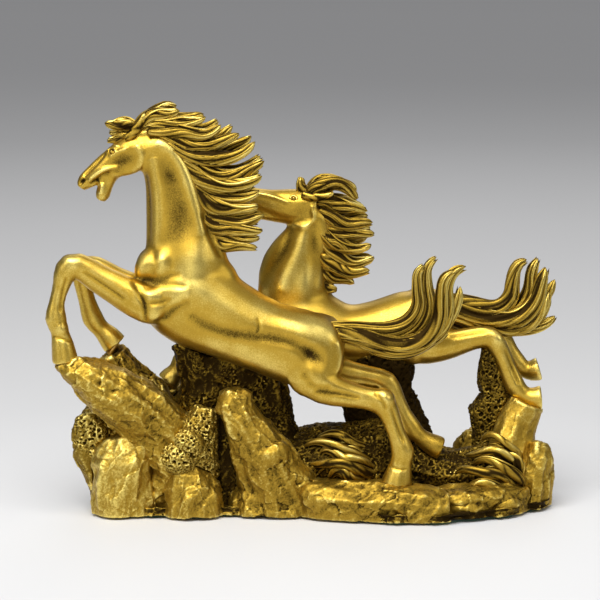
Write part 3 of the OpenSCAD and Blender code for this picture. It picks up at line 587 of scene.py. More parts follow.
# ---- Hair -----------------------------------------------------------------------------
def toward(degrees):
    turn = math.radians(degrees)
    return np.array([math.cos(turn), 0.0, math.sin(turn)])


def flung_route(root, tip, root_heading, tip_heading, count, bow=0.0):
    """Points on the curve that leaves the root and reaches the tip at the given headings."""
    root, tip = np.array(root, float), np.array(tip, float)
    reach = 0.42 * np.linalg.norm(tip - root)
    handle = root + reach * toward(root_heading)
    back = tip - reach * toward(tip_heading)
    t = np.linspace(0, 1, count)[:, None]
    route = (1 - t) ** 3 * root + 3 * t * (1 - t) ** 2 * handle + 3 * t * t * (1 - t) * back + t ** 3 * tip
    route[:, 1] += bow * np.sin(math.pi * t[:, 0])
    return route


def winding_route(start, length, headings, count):
    """Points along a lock that follows its headings from root to tip."""
    shares = (np.arange(count - 1) + 0.5) / (count - 1)
    turns = np.interp(shares, np.linspace(0, 1, len(headings)), headings)
    steps = np.array([toward(a) for a in turns]) * length / (count - 1)
    return np.vstack([start, np.array(start, float) + np.cumsum(steps, axis=0)])


def girth(t, half):
    """Half thickness of a lock at share t of its length."""
    return half * (0.35 + 0.65 * np.sqrt(1 - t)) * np.sin(np.radians(40 + 110 * t)) + 0.25


def turning_frame(route):
    """Directions up and sideways at each point of a route."""
    along = np.gradient(route, axis=0)
    along /= np.linalg.norm(along, axis=1)[:, None]
    up = np.cross(np.array([0.0, 1.0, 0.0]), along)
    up /= np.maximum(np.linalg.norm(up, axis=1), 1e-9)[:, None]
    return up, np.cross(along, up)


def tube(route, radius, sides, outward, core_relief):
    """Points, faces and relief of a closed round tube; it is brightest on its outward side."""
    up, side = turning_frame(route)
    angle = np.arange(sides) * 2 * math.pi / sides
    round_up = up[:, None, :] * np.cos(angle)[None, :, None]
    normal = round_up + side[:, None, :] * np.sin(angle)[None, :, None]
    points = (route[:, None, :] + normal * radius[:, None, None]).reshape(-1, 3)
    facing = np.einsum("ikj,ij->ik", normal, outward).reshape(-1)
    return points, ring_faces(len(route), sides), np.repeat(core_relief, sides) + 1.75 * facing


def ring_faces(count, sides):
    """Faces of a closed tube of rings, with its two ends."""
    faces = []
    for i in range(count - 1):
        low, high = i * sides, (i + 1) * sides
        for k in range(sides):
            after = (k + 1) % sides
            faces.append((low + k, high + k, high + after, low + after))
    faces.append(tuple(range(sides)))
    faces.append(tuple((count - 1) * sides + k for k in range(sides - 1, -1, -1)))
    return faces


def grooved(route, width, grooves, depth, rng, flat):
    """Shape of a lock's body: big strands, each with finer ones, that drift slowly round it."""
    few, many = grooves
    count, sides = len(route), 4 * many
    t = np.linspace(0, 1, count)
    up, side = turning_frame(route)
    angle = np.arange(sides) * 2 * math.pi / sides
    drift = rng.uniform(0.2, 0.5) * np.sin(2 * math.pi * (rng.uniform(0.7, 1.4) * t + rng.uniform()))
    turned = angle[None, :] + (drift + rng.uniform(-0.6, 0.6) * t + rng.uniform(0, 6))[:, None]
    uneven = 0.22 * np.sin(2 * turned + rng.uniform(0, 6))
    turned = turned + uneven + 0.12 * np.sin(3 * turned + rng.uniform(0, 6))
    coarse = np.abs(np.sin(few * turned / 2)) ** 0.8
    wander = 2.5 * np.sin(2 * math.pi * t + rng.uniform(0, 6))[:, None]
    fine = np.abs(np.sin(many * turned / 2 + wander)) ** 0.7
    crest = 0.58 * coarse + 0.42 * fine
    radius = width[:, None] * (1 - depth * (1 - crest))
    rings = (up[:, None, :] * (radius * np.cos(angle))[:, :, None]
             + side[:, None, :] * (flat * radius * np.sin(angle))[:, :, None])
    points = (route[:, None, :] + rings).reshape(-1, 3)
    tip = np.clip((t - 0.6) / 0.4, 0, 1)
    # The 0.4 * cos term paints a highlight along one side of each lock and shade along the other; the
    # crests stand out from the patina in the grooves, and the ends grow brighter towards the tip
    relief = -2.15 + 2.5 * crest + 0.4 * np.cos(angle)[None, :] + 0.5 * tip[:, None]
    return points, ring_faces(count, sides), relief.reshape(-1)


def lock_shape(route, half, grooves, depth, seed, flat=0.8, hook=1.0, loose=3, sway=1.0):
    """Shapes of one lock: a wavy body that ends blunt and hooked, and loose strands along it."""
    rng = np.random.default_rng(seed)
    count = len(route)
    t = np.linspace(0, 1, count)
    up, _ = turning_frame(route)
    wide = rng.uniform(0.14, 0.27) * half
    wave = wide * t * np.sin(2 * math.pi * (rng.uniform(1.0, 1.5) * t + rng.uniform()))
    wave = sway * wave + hook * rng.uniform(0.4, 1.4) * np.clip((t - 0.74) / 0.26, 0, 1) ** 2
    route = route + up * wave[:, None]
    up, side = turning_frame(route)
    width = girth(t, half) + 0.15 * half * t * t
    ends = np.sqrt(np.clip((1 - t) / 0.07, 0.0, 1)) * np.sqrt(np.clip((t + 0.01) / 0.04, 0.0, 1))
    shapes = [grooved(route, np.maximum(width * ends, 0.05), grooves, depth, rng, flat)]
    for _ in range(loose):
        last = count - int(rng.uniform(0.0, 0.06) * count)
        u = np.linspace(0, 1, last)
        around = rng.choice((0.0, math.pi)) + rng.uniform(-0.9, 0.9)
        around = around + 0.4 * np.sin(2 * math.pi * (u + rng.uniform()))
        outward = up[:last] * np.cos(around)[:, None] + side[:last] * (flat * np.sin(around))[:, None]
        curl = rng.uniform(-0.3, 0.5) * np.clip((u - 0.8) / 0.2, 0, 1) ** 2
        away = 0.86 * width[:last] * (1 - 0.3 * u ** 4)
        line = route[:last] + outward * away[:, None] + up[:last] * curl[:, None]
        belly = 0.6 + 0.4 * np.sin(math.pi * np.clip(u * 0.92 + 0.1, 0, 1)) ** 0.5
        size = rng.uniform(0.5, 0.8) * belly * np.sqrt(np.clip((1 - u) / 0.035, 0.02, 1))
        size = size * np.sqrt(np.clip((u + 0.01) / 0.05, 0.05, 1))
        core_relief = rng.uniform(-1.4, -1.0) + 0.7 * np.clip((u - 0.55) / 0.45, 0, 1)
        shapes.append(tube(line, size, 8, outward, core_relief))
    return shapes


def grass_shapes(blades, seed):
    """Each blade of the list, thick and keeled, and between each pair a shorter one that droops."""
    shapes = []
    for i, (x0, z0, x1, z1, y, half, leave, arrive) in enumerate(blades):
        route = flung_route((x0, y, z0), (x1, y, z1), leave, arrive, 30, -6.5)
        shapes.append(lock_shape(route, half, (2, 5), 0.42, seed + i, flat=0.7, hook=-1.0,
                                 loose=1, sway=3.2))
        if i + 1 < len(blades):
            x2, z2, x3, z3 = blades[i + 1][:4]
            root = ((x0 + x2) / 2, y + 1, (z0 + z2) / 2 + 0.4)
            tip = (0.35 * x0 + 0.65 * (x1 + x3) / 2, y - 1, (z1 + z3) / 2 - 1.2)
            short = flung_route(root, tip, leave - 14, arrive + 20, 24, -4.5)
            shapes.append(lock_shape(short, half * 0.7, (2, 4), 0.42, seed + 40 + i, flat=0.7, hook=-0.6,
                                     loose=0, sway=3.2))
    return shapes


def make_locks(name, origin, shapes, slot, node):
    """One piece from several locks, in place of a cast section."""
    points, faces, relief, start = [], [], [], 0
    for lock_points, lock_faces, lock_relief in (strand for lock in shapes for strand in lock):
        points.append(lock_points + origin)
        relief.append(lock_relief)
        faces.extend(tuple(v + start for v in face) for face in lock_faces)
        start += len(lock_points)
    mesh = bpy.data.meshes.new(name)
    mesh.from_pydata((np.vstack(points) * MM).tolist(), [], faces)
    mesh.update()
    piece = add_object(name, mesh)
    write_relief(mesh, np.concatenate(relief))
    edit_whole(piece, bpy.ops.mesh.normals_make_consistent, inside=False)
    finish_piece(piece, slot, [node])


# Locks of a mane: (root x, root z, tip x, tip z, half thickness, root heading, tip heading)
LEAD_MANE = [
    (-64, 156.4, -47, 163.4, 2.8, 50, 8), (-62, 157, -37.5, 161.6, 3.3, 25, 42),
    (-60, 155.5, -31, 158, 3.4, 5, 40), (-56, 153.5, -25, 155.5, 3.6, -20, 48),
    (-52.5, 151, -18.5, 152, 3.8, -34, 52), (-49.5, 147.5, -14.5, 144, 3.9, -44, 52),
    (-47, 143, -15.5, 138.5, 3.9, -50, 42), (-44.5, 138.5, -16.5, 132.5, 3.8, -52, 36),
    (-43, 133.5, -17, 127, 3.7, -54, 26), (-41.5, 128.5, -14, 122, 3.6, -55, 20),
    (-40, 123.5, -15, 117.8, 3.4, -56, 14), (-39, 119, -16, 114.2, 3.0, -56, 12),
    (-38, 115, -17, 111, 2.6, -54, 10),
]
FAR_MANE = [
    (4, 130.5, 24, 129.5, 3.4, 62, -46), (6.5, 128, 27, 125, 3.2, 5, 12), (7, 124, 29, 120, 3.4, -30, 22),
    (8.5, 120, 29.5, 116.2, 3.4, -46, 24), (8.5, 116, 28.6, 110.8, 3.4, -52, 20),
    (8.5, 111.5, 30, 104.8, 3.6, -58, 26), (8.5, 106.5, 28, 100.4, 3.4, -62, 16),
    (7.5, 101.5, 22, 96, 3.0, -62, 0), (6, 97, 15, 91.6, 2.6, -60, -16),
]
# Forelocks: (root x, root z, tip x, tip z, y, half thickness, root heading, tip heading)
LEAD_FORELOCK = [
    (-64, 157, -76.5, 157.6, -1.2, 2.7, 160, 182), (-64.5, 155.4, -75, 154, 1.4, 2.4, 175, 190),
    (-66, 153.4, -75.5, 150.8, 0, 1.8, 190, 200),
]
FAR_FORELOCK = [(6, 129.5, 0, 137.6, -1.4, 2.6, 150, 84), (6, 130, 4, 134.6, 1.4, 2.2, 130, 76)]
# Tails: (x, y, z, length, half thickness, headings from root to tip)
LEAD_TAIL = [
    (10, -1, 76.6, 60, 3.6, (4, -2, -4, 2, 20, 56, 104, 104, 50)),
    (10, 1.4, 76, 68, 4, (0, -6, -12, 0, 28, 62, 98, 92, 40)),
    (11, -1.8, 75.6, 71, 4.4, (-2, -10, -18, -6, 18, 52, 86, 92, 30)),
    (12, -0.6, 75.6, 76, 4.6, (-4, -14, -20, -6, 14, 38, 78, 98, 62, 10)),
    (12, 1.6, 75.6, 66, 4.2, (-6, -18, -22, -4, 24, 52, 74, 90)),
    (12, -1.6, 75.8, 60, 4, (-6, -20, -26, -12, 20, 50, 80, 120)),
    (12, 1, 76, 50, 3.4, (-8, -22, -26, -4, 30, 56)),
]
FAR_TAIL = [
    (55, -1.4, 86.5, 49, 4.6, (4, -6, -14, -4, 40, 82, 74, 30)),
    (55, 1.6, 86, 57, 5, (2, -10, -14, 2, 48, 96, 74)),
    (55, -1.8, 84.5, 58, 5.2, (-2, -14, -14, 2, 40, 80, 84)),
    (56, 1.4, 83, 56, 5, (-6, -18, -14, 2, 30, 62, 88)),
    (56, -1, 82, 52, 4.8, (-10, -18, -14, -2, 18, 58, 84)),
    (56, 0.6, 81.4, 49, 4.2, (-10, -20, -12, 0, 16, 46)),
]
# Blades of grass: (root x, root z, tip x, tip z, y, half thickness, root heading, tip heading)
FRONT_BLADES = [
    (30, 24, 6, 31.5, -8, 2.2, 140, 186), (31, 21, 1, 27.5, -10, 2.5, 150, 198),
    (30, 18, 8, 24.4, -12, 2.4, 146, 202), (31, 15.6, 3, 20.4, -13, 2.5, 160, 210),
    (26, 13.6, 10, 16.8, -13, 2.2, 158, 216), (22, 27.4, 11, 33.4, -7, 1.8, 120, 172),
]
RIGHT_BLADES = [
    (88, 19, 72, 29, -3, 2, 88, 206), (87.6, 15.6, 66, 24.4, -5, 2.3, 100, 190),
    (88.4, 9.6, 69, 20, -7, 2.4, 90, 198), (86.6, 9, 61, 15.4, -8, 2.4, 118, 206),
    (83, 7.6, 63, 8.8, -9, 2.3, 130, 214), (88, 12, 79, 24.4, -4, 2, 70, 190),
]


def mane_shapes(locks, seed):
    hair = bpy.context.scene.statue_hair
    shapes = []
    for i, (x0, z0, x1, z1, half, leave, arrive) in enumerate(locks):
        for side in (-1, 1):
            draw_in = 0.0 if side < 0 else 1.6
            y = side * (2.3 + 0.5 * (-1) ** i)
            route = flung_route((x0, y, z0), (x1 - draw_in, y, z1 + draw_in), leave, arrive, 34)
            grooves = (4 + i % 2, hair.strands + i % 3)
            shapes.append(lock_shape(route, half, grooves, hair.depth, seed + 2 * i + (side > 0)))
    return shapes


def forelock_shapes(locks, seed):
    hair = bpy.context.scene.statue_hair
    return [
        lock_shape(flung_route((x0, y, z0), (x1, y, z1), leave, arrive, 26), half, (3, 11), hair.depth,
                   seed + i, hook=0.5)
        for i, (x0, z0, x1, z1, y, half, leave, arrive) in enumerate(locks)
    ]


def tail_shapes(locks, seed):
    hair = bpy.context.scene.statue_hair
    return [
        lock_shape(winding_route((x, y, z), length, headings, 54), half, (5, hair.strands), hair.depth,
                   seed + i, hook=1.4, loose=5)
        for i, (x, y, z, length, half, headings) in enumerate(locks)
    ]


# ---- Rocks ----------------------------------------------------------------------------
def noise_at(p, second, third):
    """Vector of noise at a point and at two places offset from it."""
    return Vector((noise.noise(p), noise.noise(p + Vector(second)), noise.noise(p + Vector(third))))


def hewn(p, seed, lay):
    """Height of hewn rock at a point, in millimetres: lumps drawn out along its lay, and chips."""
    turn = math.radians(lay)
    along = p.x * math.cos(turn) + p.z * math.sin(turn)
    across = p.z * math.cos(turn) - p.x * math.sin(turn)
    q = Vector((0.42 * along, p.y, across)) + Vector((seed * 17.3, seed * 5.1, seed * 11.7))
    bend = 1.6 * noise_at(q / 6, (5, 9, 2), (-7, -1, -4))
    q = q + bend
    lumps = 1.9 * noise.noise(q / 8.5) + 0.6 * noise.noise(q / 3.6)
    crest = max(1 - abs(2.1 * noise.noise(q / 4.6)), 0)
    cut = p + bend
    chip = 0.0
    for size, steep in ((8.0, 2.6), (3.6, 0.9)):
        _, centres = noise.voronoi(cut / size)
        tilt = noise.cell_vector(centres[0] * 9.1) - Vector((0.5, 0.5, 0.5))
        chip += (cut / size - centres[0]).dot(tilt) * steep
    grit = 0.17 * noise.noise(p / 1.25) + 0.13 * noise.noise(p / 0.62)
    knobs = 0.2 * noise.noise(p / 2.3 + Vector((seed, 0, 4))) + 0.3 * noise.noise(p / 4.1)
    return lumps + 0.4 * crest ** 3 + 0.42 * chip + knobs + grit


def honeycomb(p, seed, cell):
    """Height of pitted rock at a point: round holes with a net of rims between them."""
    q = p + Vector((seed * 13.1, seed * 7.7, seed * 3.9))
    warp = noise_at(q / 3, (9, 0, 0), (0, 9, 0))
    depth = 0.5 + 0.5 * noise.noise(q / 4.4)
    height = 0.5
    for scale, deep in ((1.0, 2.0), (0.56, 0.8)):
        distances, centres = noise.voronoi((q + 0.7 * warp) / (scale * cell))
        size = 0.40 + 0.22 * noise.cell(centres[0] * 5.7)
        height -= deep * (0.55 + 0.6 * depth) * max(0.0, 1 - (distances[0] / size) ** 2) ** 0.6
    return height


def stand_on_felt(piece):
    """Carries the cut foot of a rock down through the ground plate, a little wider below."""
    points = points_of(piece.data)
    ground_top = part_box("ground_slab")[1][2] / MM
    foot = points[:, 2] < ground_top + 0.05
    if not foot.any():
        return
    middle = points[foot].mean(axis=0)
    away = points[foot] - middle
    reach = np.maximum(np.linalg.norm(away[:, :2], axis=1), 1e-6)[:, None]
    points[foot, :2] += SPREAD * away[:, :2] / reach
    points[foot, 2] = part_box("felt_pad")[1][2] / MM + 0.2
    write_points(piece.data, points)


# Lumps added to a rock: (x, y, z, half length, half width, half height, heading)
ROCK_LUMPS = {
    "porous_patch": [(-48.4, -20, 24.6, 6.4, 5.4, 7.6, 70), (-44, -21, 31, 5, 4.4, 6, 60)],
    "front_spur": [(-26.4, -18.6, 46.6, 8.2, 5.8, 5, 22), (-13, -22, 26, 6, 5, 9, 110)],
    "front_ledge": [(30, -28, 7, 9, 5, 6, 8), (8, -21, 9, 9, 6, 6, -12)],
    "right_ledge": [(66, -21.4, 4.6, 9, 6, 4, -4), (80, -17, 5, 7, 5, 4.4, 10)],
    "ground_slab": [(56, -26, 2.6, 10, 6, 3, -6)],
}


def blotch(at, scale, amount):
    """How far a point lies in blotches that cover about this share of the surface, from 0 to 1."""
    if amount in (0.0, 1.0):
        return amount
    value = noise.noise(at / scale + Vector((31, 7, 3))) * 0.5 + 0.5
    return min(max((value - (1 - amount)) / 0.12, 0.0), 1.0)


def make_rock(node, slot, blotch_scale, seed, voxel, lay, pitted, tone_and_painted_light, coarse):
    """Skin of one rock: hewn all over along its lay, and pitted in blotches."""
    rocks = bpy.context.scene.statue_rocks
    piece = copy_of_nodes(f"{node}_rock", [node])
    if node != "ground_slab":
        stand_on_felt(piece)
    add_lumps(piece, CENTRE, ROCK_LUMPS.get(node, []))
    remesh(piece, voxel)
    mesh = piece.data
    near = Neighbours(mesh)
    points = near.smooth(points_of(mesh), 8 if coarse > 0.5 else 70)
    if node == "ground_slab":
        points = points - 2.2 * near.blur(normals_of(mesh) * np.array([1.0, 1.0, 0.5]), 6)
    write_points(mesh, points)
    height = np.empty(len(points))
    for i, p in enumerate(points):
        at = Vector(p)
        share = blotch(at, blotch_scale, pitted)
        rough = coarse * rocks.roughness * hewn(at, seed, lay)
        if share > 0:
            pits = rocks.pit_depth * honeycomb(at, seed, rocks.pit_cell)
            rough = (1 - 0.45 * share) * rough + share * pits
        height[i] = rough
    write_points(mesh, points + normals_of(mesh) * height[:, None])
    small, large = standing_out(mesh, near, 3, 24)
    # The rock's offset shifts its tone; on the rocks under and behind the horses it is painted shade
    write_relief(mesh, ROCK_FINE * small + ROCK_BROAD * large + tone_and_painted_light)
    points = points_of(mesh)
    points[:, 2] = np.maximum(points[:, 2], CAD_BOX[0][2] / MM + 1.0)
    write_points(mesh, points)
    finish_piece(piece, slot, [node])


# Rocks: seed, voxel, heading of the furrows, share that is pitted, tone offset (its most negative values,
# on the rocks under and behind the horses, are painted shade), coarseness
HEWN_ROCKS = {
    "ground_slab": (1, 0.7, 60, 0.0, -0.7, 0.8), "left_boulder": (2, 0.5, 80, 0.0, 0.2, 0.75),
    "leap_spur": (3, 0.5, 150, 0.12, -0.1, 1.0), "mid_boulder": (4, 0.45, 70, 0.0, -0.05, 0.9),
    "front_spur": (5, 0.5, 118, 0.0, -0.15, 0.95), "front_ledge": (6, 0.55, 35, 0.0, -0.25, 0.75),
    "right_ledge": (7, 0.55, 30, 0.2, -0.3, 0.85), "hoof_stump": (8, 0.5, 70, 0.0, 0.0, 0.4),
    "end_rock": (9, 0.5, 80, 0.0, -0.1, 0.8), "back_boulders": (10, 0.7, 60, 0.35, -0.25, 1.0),
    "leap_spur_back": (11, 0.55, 120, 0.45, -0.45, 1.0),
}
POROUS_ROCKS = {
    "left_shard": (12, 0.42, 110, 0.5, -0.1, 1.0), "porous_patch": (13, 0.34, 90, 1.0, -0.05, 0.8),
    "belly_wall": (14, 0.5, 90, 0.55, -0.85, 1.0), "haunch_rock": (15, 0.5, 0, 0.85, -0.85, 1.0),
    "croup_pillar": (16, 0.45, 90, 0.7, -1.6, 0.9), "porous_column": (17, 0.34, 90, 1.0, -0.65, 0.9),
}


# ---- Settings -------------------------------------------------------------------------
class STATUE_PG_finish(bpy.types.PropertyGroup):
    crevice: FloatVectorProperty(
        name="Crevice patina", description="Colour left in the crevices", subtype="COLOR", size=3,
        min=0, max=1, default=(0.030, 0.017, 0.004))
    metal: FloatVectorProperty(
        name="Bronze", description="Colour of the plain cast bronze", subtype="COLOR", size=3,
        min=0, max=1, default=(0.50, 0.315, 0.038))
    rubbed: FloatVectorProperty(
        name="Rubbed bronze", description="Colour where handling has rubbed it bright", subtype="COLOR",
        size=3, min=0, max=1, default=(0.88, 0.70, 0.19))
    hair_tone: FloatProperty(
        name="Hair tone", description="Brightness of the hair and grass against the bodies",
        default=0.72, min=0.2, max=1.2)
    rock_tone: FloatProperty(
        name="Rock tone", description="Brightness of the rocks against the bodies",
        default=0.75, min=0.2, max=1.2)
    # The low tone is partly the darker patina of the pitted rock and partly painted shade for the pitted
    # rocks that stand in shadow under the horses
    porous_tone_and_shade: FloatProperty(
        name="Porous tone", description="Brightness of the honeycombed rock", default=0.5, min=0.1, max=1.2)


class STATUE_PG_hair(bpy.types.PropertyGroup):
    strands: IntProperty(
        name="Strands", description="Fine strands round each lock of hair", default=15, min=6, max=24)
    depth: FloatProperty(
        name="Groove depth", description="Depth of the gaps between strands as a share of a lock's radius",
        default=0.48, min=0.05, max=0.6, subtype="FACTOR")


class STATUE_PG_rocks(bpy.types.PropertyGroup):
    roughness: FloatProperty(
        name="Roughness", description="How rough the hewn rock is", default=1.0, min=0, max=2)
    pit_depth: FloatProperty(
        name="Pit depth", description="Depth of the pits in the honeycombed rock", default=0.8, min=0,
        max=2)
    pit_cell: FloatProperty(
        name="Pit spacing", description="Distance between pits, in millimetres", default=1.7, min=1, max=6)


class STATUE_PG_stage(bpy.types.PropertyGroup):
    distance: FloatProperty(
        name="Camera distance", description="Distance of the camera", default=1.3, min=0.5, max=4,
        unit="LENGTH")
    elevation: FloatProperty(
        name="Camera elevation", description="Angle above the horizon", default=math.radians(9),
        subtype="ANGLE")
    key_power: FloatProperty(
        name="Key light", description="Power of the softbox overhead", default=23.0, min=0)
    fill_power: FloatProperty(
        name="Fill light", description="Power of the side lights", default=3.0, min=0)
    room_light: FloatProperty(
        name="Room light", description="Strength of the light from all round", default=0.6, min=0)


# ---- Operators ------------------------------------------------------------------------
class STATUE_OT_lead_flesh(bpy.types.Operator):
    """Carves the lead horse's body, neck, head and legs"""
    bl_idname = "statue.lead_flesh"
    bl_label = "Lead horse"

    def execute(self, context):
        make_flesh("lead", LEAD, LEAD_LUMPS, LEAD_BULGES, LEAD_FOLDS, LEAD_PATINA_AND_PAINTED_LIGHT,
                   (-74.0, 4.3, 147.6, 1.35), lambda p: p.x < -62.5 and p.z > 121, 1.012, 60)
        return {"FINISHED"}


class STATUE_OT_far_flesh(bpy.types.Operator):
    """Carves the far horse's body, neck, head and legs"""
    bl_idname = "statue.far_flesh"
    bl_label = "Far horse"

    def execute(self, context):
        make_flesh("far", FAR, FAR_LUMPS, FAR_BULGES, FAR_FOLDS, FAR_PATINA_AND_PAINTED_LIGHT,
                   (-2.6, 4.4, 129.2, 0.95), lambda p: p.x < 4 and p.z > 110, 0.988, 67)
        return {"FINISHED"}


class STATUE_OT_ears(bpy.types.Operator):
    """Shapes both pairs of ears"""
    bl_idname = "statue.ears"
    bl_label = "Ears"

    def execute(self, context):
        for horse, origin, (x0, z0, x1, z1, y, leave, arrive) in (
            ("lead", LEAD, (-68.5, 152.4, -60.6, 162.6, 3.6, 30, 66)),
            ("far", FAR, (0.5, 131, 13.8, 131.6, 5.0, -20, 20)),
        ):
            shapes = [
                lock_shape(flung_route((x0, s * y, z0), (x1, s * (y + 0.8), z1), leave, arrive, 24), 2.0,
                           (2, 4), 0.25, 40, hook=0.0, loose=0, sway=0.0)
                for s in (-1, 1)
            ]
            make_locks(f"{horse}_ear_pair", origin, shapes, FLESH_SLOT, f"{horse}_ears")
        return {"FINISHED"}


class STATUE_OT_hair(bpy.types.Operator):
    """Combs the manes, forelocks and tails"""
    bl_idname = "statue.hair"
    bl_label = "Hair"

    def execute(self, context):
        for horse, origin, mane, forelock, tail, seed in (
            ("lead", LEAD, LEAD_MANE, LEAD_FORELOCK, LEAD_TAIL, 100),
            ("far", FAR, FAR_MANE, FAR_FORELOCK, FAR_TAIL, 200),
        ):
            for part, shapes in (
                ("mane", mane_shapes(mane, seed)), ("forelock", forelock_shapes(forelock, seed + 50)),
                ("tail", tail_shapes(tail, seed + 70)),
            ):
                make_locks(f"{horse}_{part}_locks", origin, shapes, HAIR_SLOT, f"{horse}_{part}")
        return {"FINISHED"}


class STATUE_OT_hewn_rocks(bpy.types.Operator):
    """Roughs out the hewn rocks of the base"""
    bl_idname = "statue.hewn_rocks"
    bl_label = "Hewn rocks"

    def execute(self, context):
        for node, numbers in HEWN_ROCKS.items():
            make_rock(node, ROCK_SLOT, 7.0, *numbers)
        return {"FINISHED"}


class STATUE_OT_porous_rocks(bpy.types.Operator):
    """Pits the honeycombed rocks"""
    bl_idname = "statue.porous_rocks"
    bl_label = "Porous rocks"

    def execute(self, context):
        for node, numbers in POROUS_ROCKS.items():
            make_rock(node, POROUS_SLOT, 8.0, *numbers)
        return {"FINISHED"}


class STATUE_OT_grass(bpy.types.Operator):
    """Shapes the two clumps of grass"""
    bl_idname = "statue.grass"
    bl_label = "Grass"

    def execute(self, context):
        for node, blades, seed in (("grass_front", FRONT_BLADES, 300), ("grass_right", RIGHT_BLADES, 320)):
            make_locks(f"{node}_blades", CENTRE, grass_shapes(blades, seed), GRASS_SLOT, node)
        return {"FINISHED"}


class STATUE_OT_fixings(bpy.types.Operator):
    """Finishes the dowels and the felt under the base"""
    bl_idname = "statue.fixings"
    bl_label = "Dowels and felt"

    def execute(self, context):
        metal = bronze("Turned bronze", (0.1, 0.06, 0.02), (0.6, 0.4, 0.12), (0.8, 0.6, 0.25),
                       0.2, 0.2, 1800.0, 0.3, 0.45, 0.1)
        felt, wire = new_material("Felt")
        fibres = wire.noise(2600.0, 4.0, 0.7, wire.node("ShaderNodeTexCoord").outputs["Object"])
        tint = wire.mix(fibres, (0.02, 0.05, 0.03, 1), (0.06, 0.12, 0.08, 1))
        nap = wire.node("ShaderNodeBump", {"Height": fibres, "Strength": 0.6, "Distance": 0.2 * MM})
        wire.surface({"Base Color": tint, "Normal": nap.outputs["Normal"], "Roughness": 0.95,
                      "Sheen Weight": 0.4})
        for node, material in (("hoof_dowels", metal), ("belly_dowels", metal), ("felt_pad", felt)):
            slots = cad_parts[node].data.materials
            slots.clear()
            slots.append(material)
        return {"FINISHED"}


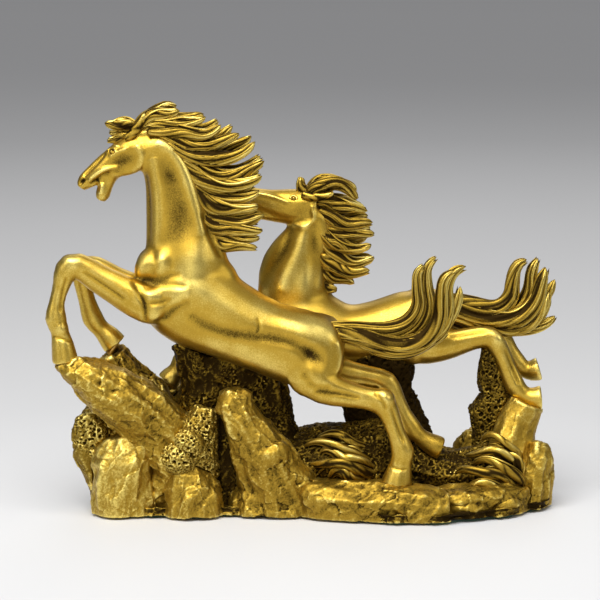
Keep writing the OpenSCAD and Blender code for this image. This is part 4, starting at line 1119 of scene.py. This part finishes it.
class STATUE_OT_stage(bpy.types.Operator):
    """Sets up the floor, the studio lights and the camera"""
    bl_idname = "statue.stage"
    bl_label = "Stage"

    def execute(self, context):
        stage = context.scene.statue_stage
        target = Vector((CENTRE[0] * MM, 0.0, GIRTH_Z * MM))
        deselect()
        bpy.ops.mesh.primitive_plane_add(size=12, location=(0, 0, CAD_BOX[0].z))
        floor = bpy.context.object
        floor.name = "studio_floor"
        bpy.ops.object.transform_apply(location=True, rotation=True, scale=True)
        # The floor is painted with a pool of light: its grey is lightest at the centre and falls off
        # further out
        floor_with_light_pool, wire = new_material("Floor with painted light pool")
        place = wire.node("ShaderNodeTexCoord").outputs["Object"]
        reach = wire.node("ShaderNodeVectorMath", {0: place}, operation="LENGTH").outputs["Value"]
        light_pool_ramp = wire.node("ShaderNodeValToRGB", {"Fac": wire.math("DIVIDE", reach, 3.0)})
        light_pool_greys = ((0.0, 0.66), (0.08, 0.56), (0.29, 0.53), (0.46, 0.46), (0.95, 0.52))
        while len(light_pool_ramp.color_ramp.elements) < len(light_pool_greys):
            light_pool_ramp.color_ramp.elements.new(0.5)
        for stop, (share, grey) in zip(light_pool_ramp.color_ramp.elements, light_pool_greys):
            stop.position = share
            stop.color = (grey, grey, grey, 1)
        wire.surface({"Base Color": light_pool_ramp.outputs["Color"], "Roughness": 0.6, "Specular IOR Level": 0.2})
        floor.data.materials.append(floor_with_light_pool)
        world = bpy.data.worlds.new("Studio")
        world.use_nodes = True
        sky = Wiring(world.node_tree)
        way = sky.node("ShaderNodeTexCoord").outputs["Generated"]
        height = sky.node("ShaderNodeSeparateXYZ", {0: way}).outputs["Z"]
        glow = sky.mix(sky.between(height, 0.05, 0.75), (0.16, 0.16, 0.17, 1), (0.8, 0.8, 0.82, 1))
        sky.tree.links.new(glow, world.node_tree.nodes["Background"].inputs[0])
        world.node_tree.nodes["Background"].inputs[1].default_value = stage.room_light
        context.scene.world = world
        for name, place, size, power in (
            ("Softbox", (-0.2, -0.7, 1.1), 1.0, stage.key_power),
            ("Left fill", (-1.2, -0.9, 0.5), 0.6, stage.fill_power),
            ("Right fill", (1.2, -0.7, 0.7), 0.6, stage.fill_power),
            ("Low fill", (-0.1, -1.1, 0.12), 0.5, 0.32 * stage.fill_power),
            ("Rim", (0.2, 1.1, 1.0), 0.8, stage.fill_power),
        ):
            lamp = bpy.data.lights.new(name, "AREA")
            lamp.shape = "SQUARE"
            lamp.size = size
            lamp.energy = power
            aim(add_object(name, lamp), place, target - Vector(place))
        camera = bpy.data.cameras.new("Camera")
        camera.lens = 0.15 * stage.distance / MM
        camera.sensor_width = 36
        context.scene.camera = add_object("Camera", camera)
        back = Vector((0, -math.cos(stage.elevation), math.sin(stage.elevation)))
        aim(context.scene.camera, target + back * stage.distance, -back)
        context.scene.view_settings.view_transform = "Standard"
        return {"FINISHED"}


class STATUE_PT_panel(bpy.types.Panel):
    """Lists the statue's pieces and settings"""
    bl_label = "Horse statue"
    bl_idname = "STATUE_PT_panel"
    bl_space_type = "VIEW_3D"
    bl_region_type = "UI"
    bl_category = "Statue"

    def draw(self, context):
        for settings in (context.scene.statue_finish, context.scene.statue_hair, context.scene.statue_rocks,
                         context.scene.statue_stage):
            for key in settings.__annotations__:
                self.layout.prop(settings, key)
        for operator in OPERATORS:
            self.layout.operator(operator.bl_idname)


SETTINGS = {
    "statue_finish": STATUE_PG_finish, "statue_hair": STATUE_PG_hair,
    "statue_rocks": STATUE_PG_rocks, "statue_stage": STATUE_PG_stage,
}
OPERATORS = (
    STATUE_OT_lead_flesh, STATUE_OT_far_flesh, STATUE_OT_ears, STATUE_OT_hair, STATUE_OT_hewn_rocks,
    STATUE_OT_porous_rocks, STATUE_OT_grass, STATUE_OT_fixings, STATUE_OT_stage,
)


def register():
    for kind in (*SETTINGS.values(), *OPERATORS, STATUE_PT_panel):
        bpy.utils.register_class(kind)
    for name, kind in SETTINGS.items():
        setattr(bpy.types.Scene, name, PointerProperty(type=kind))


def unregister():
    for name in SETTINGS:
        delattr(bpy.types.Scene, name)
    for kind in reversed((*SETTINGS.values(), *OPERATORS, STATUE_PT_panel)):
        bpy.utils.unregister_class(kind)


def main():
    register()
    bpy.ops.statue.lead_flesh()
    bpy.ops.statue.far_flesh()
    bpy.ops.statue.ears()
    bpy.ops.statue.hair()
    bpy.ops.statue.hewn_rocks()
    bpy.ops.statue.porous_rocks()
    bpy.ops.statue.grass()
    bpy.ops.statue.fixings()
    bpy.ops.statue.stage()


if __name__ == "__main__":
    main()
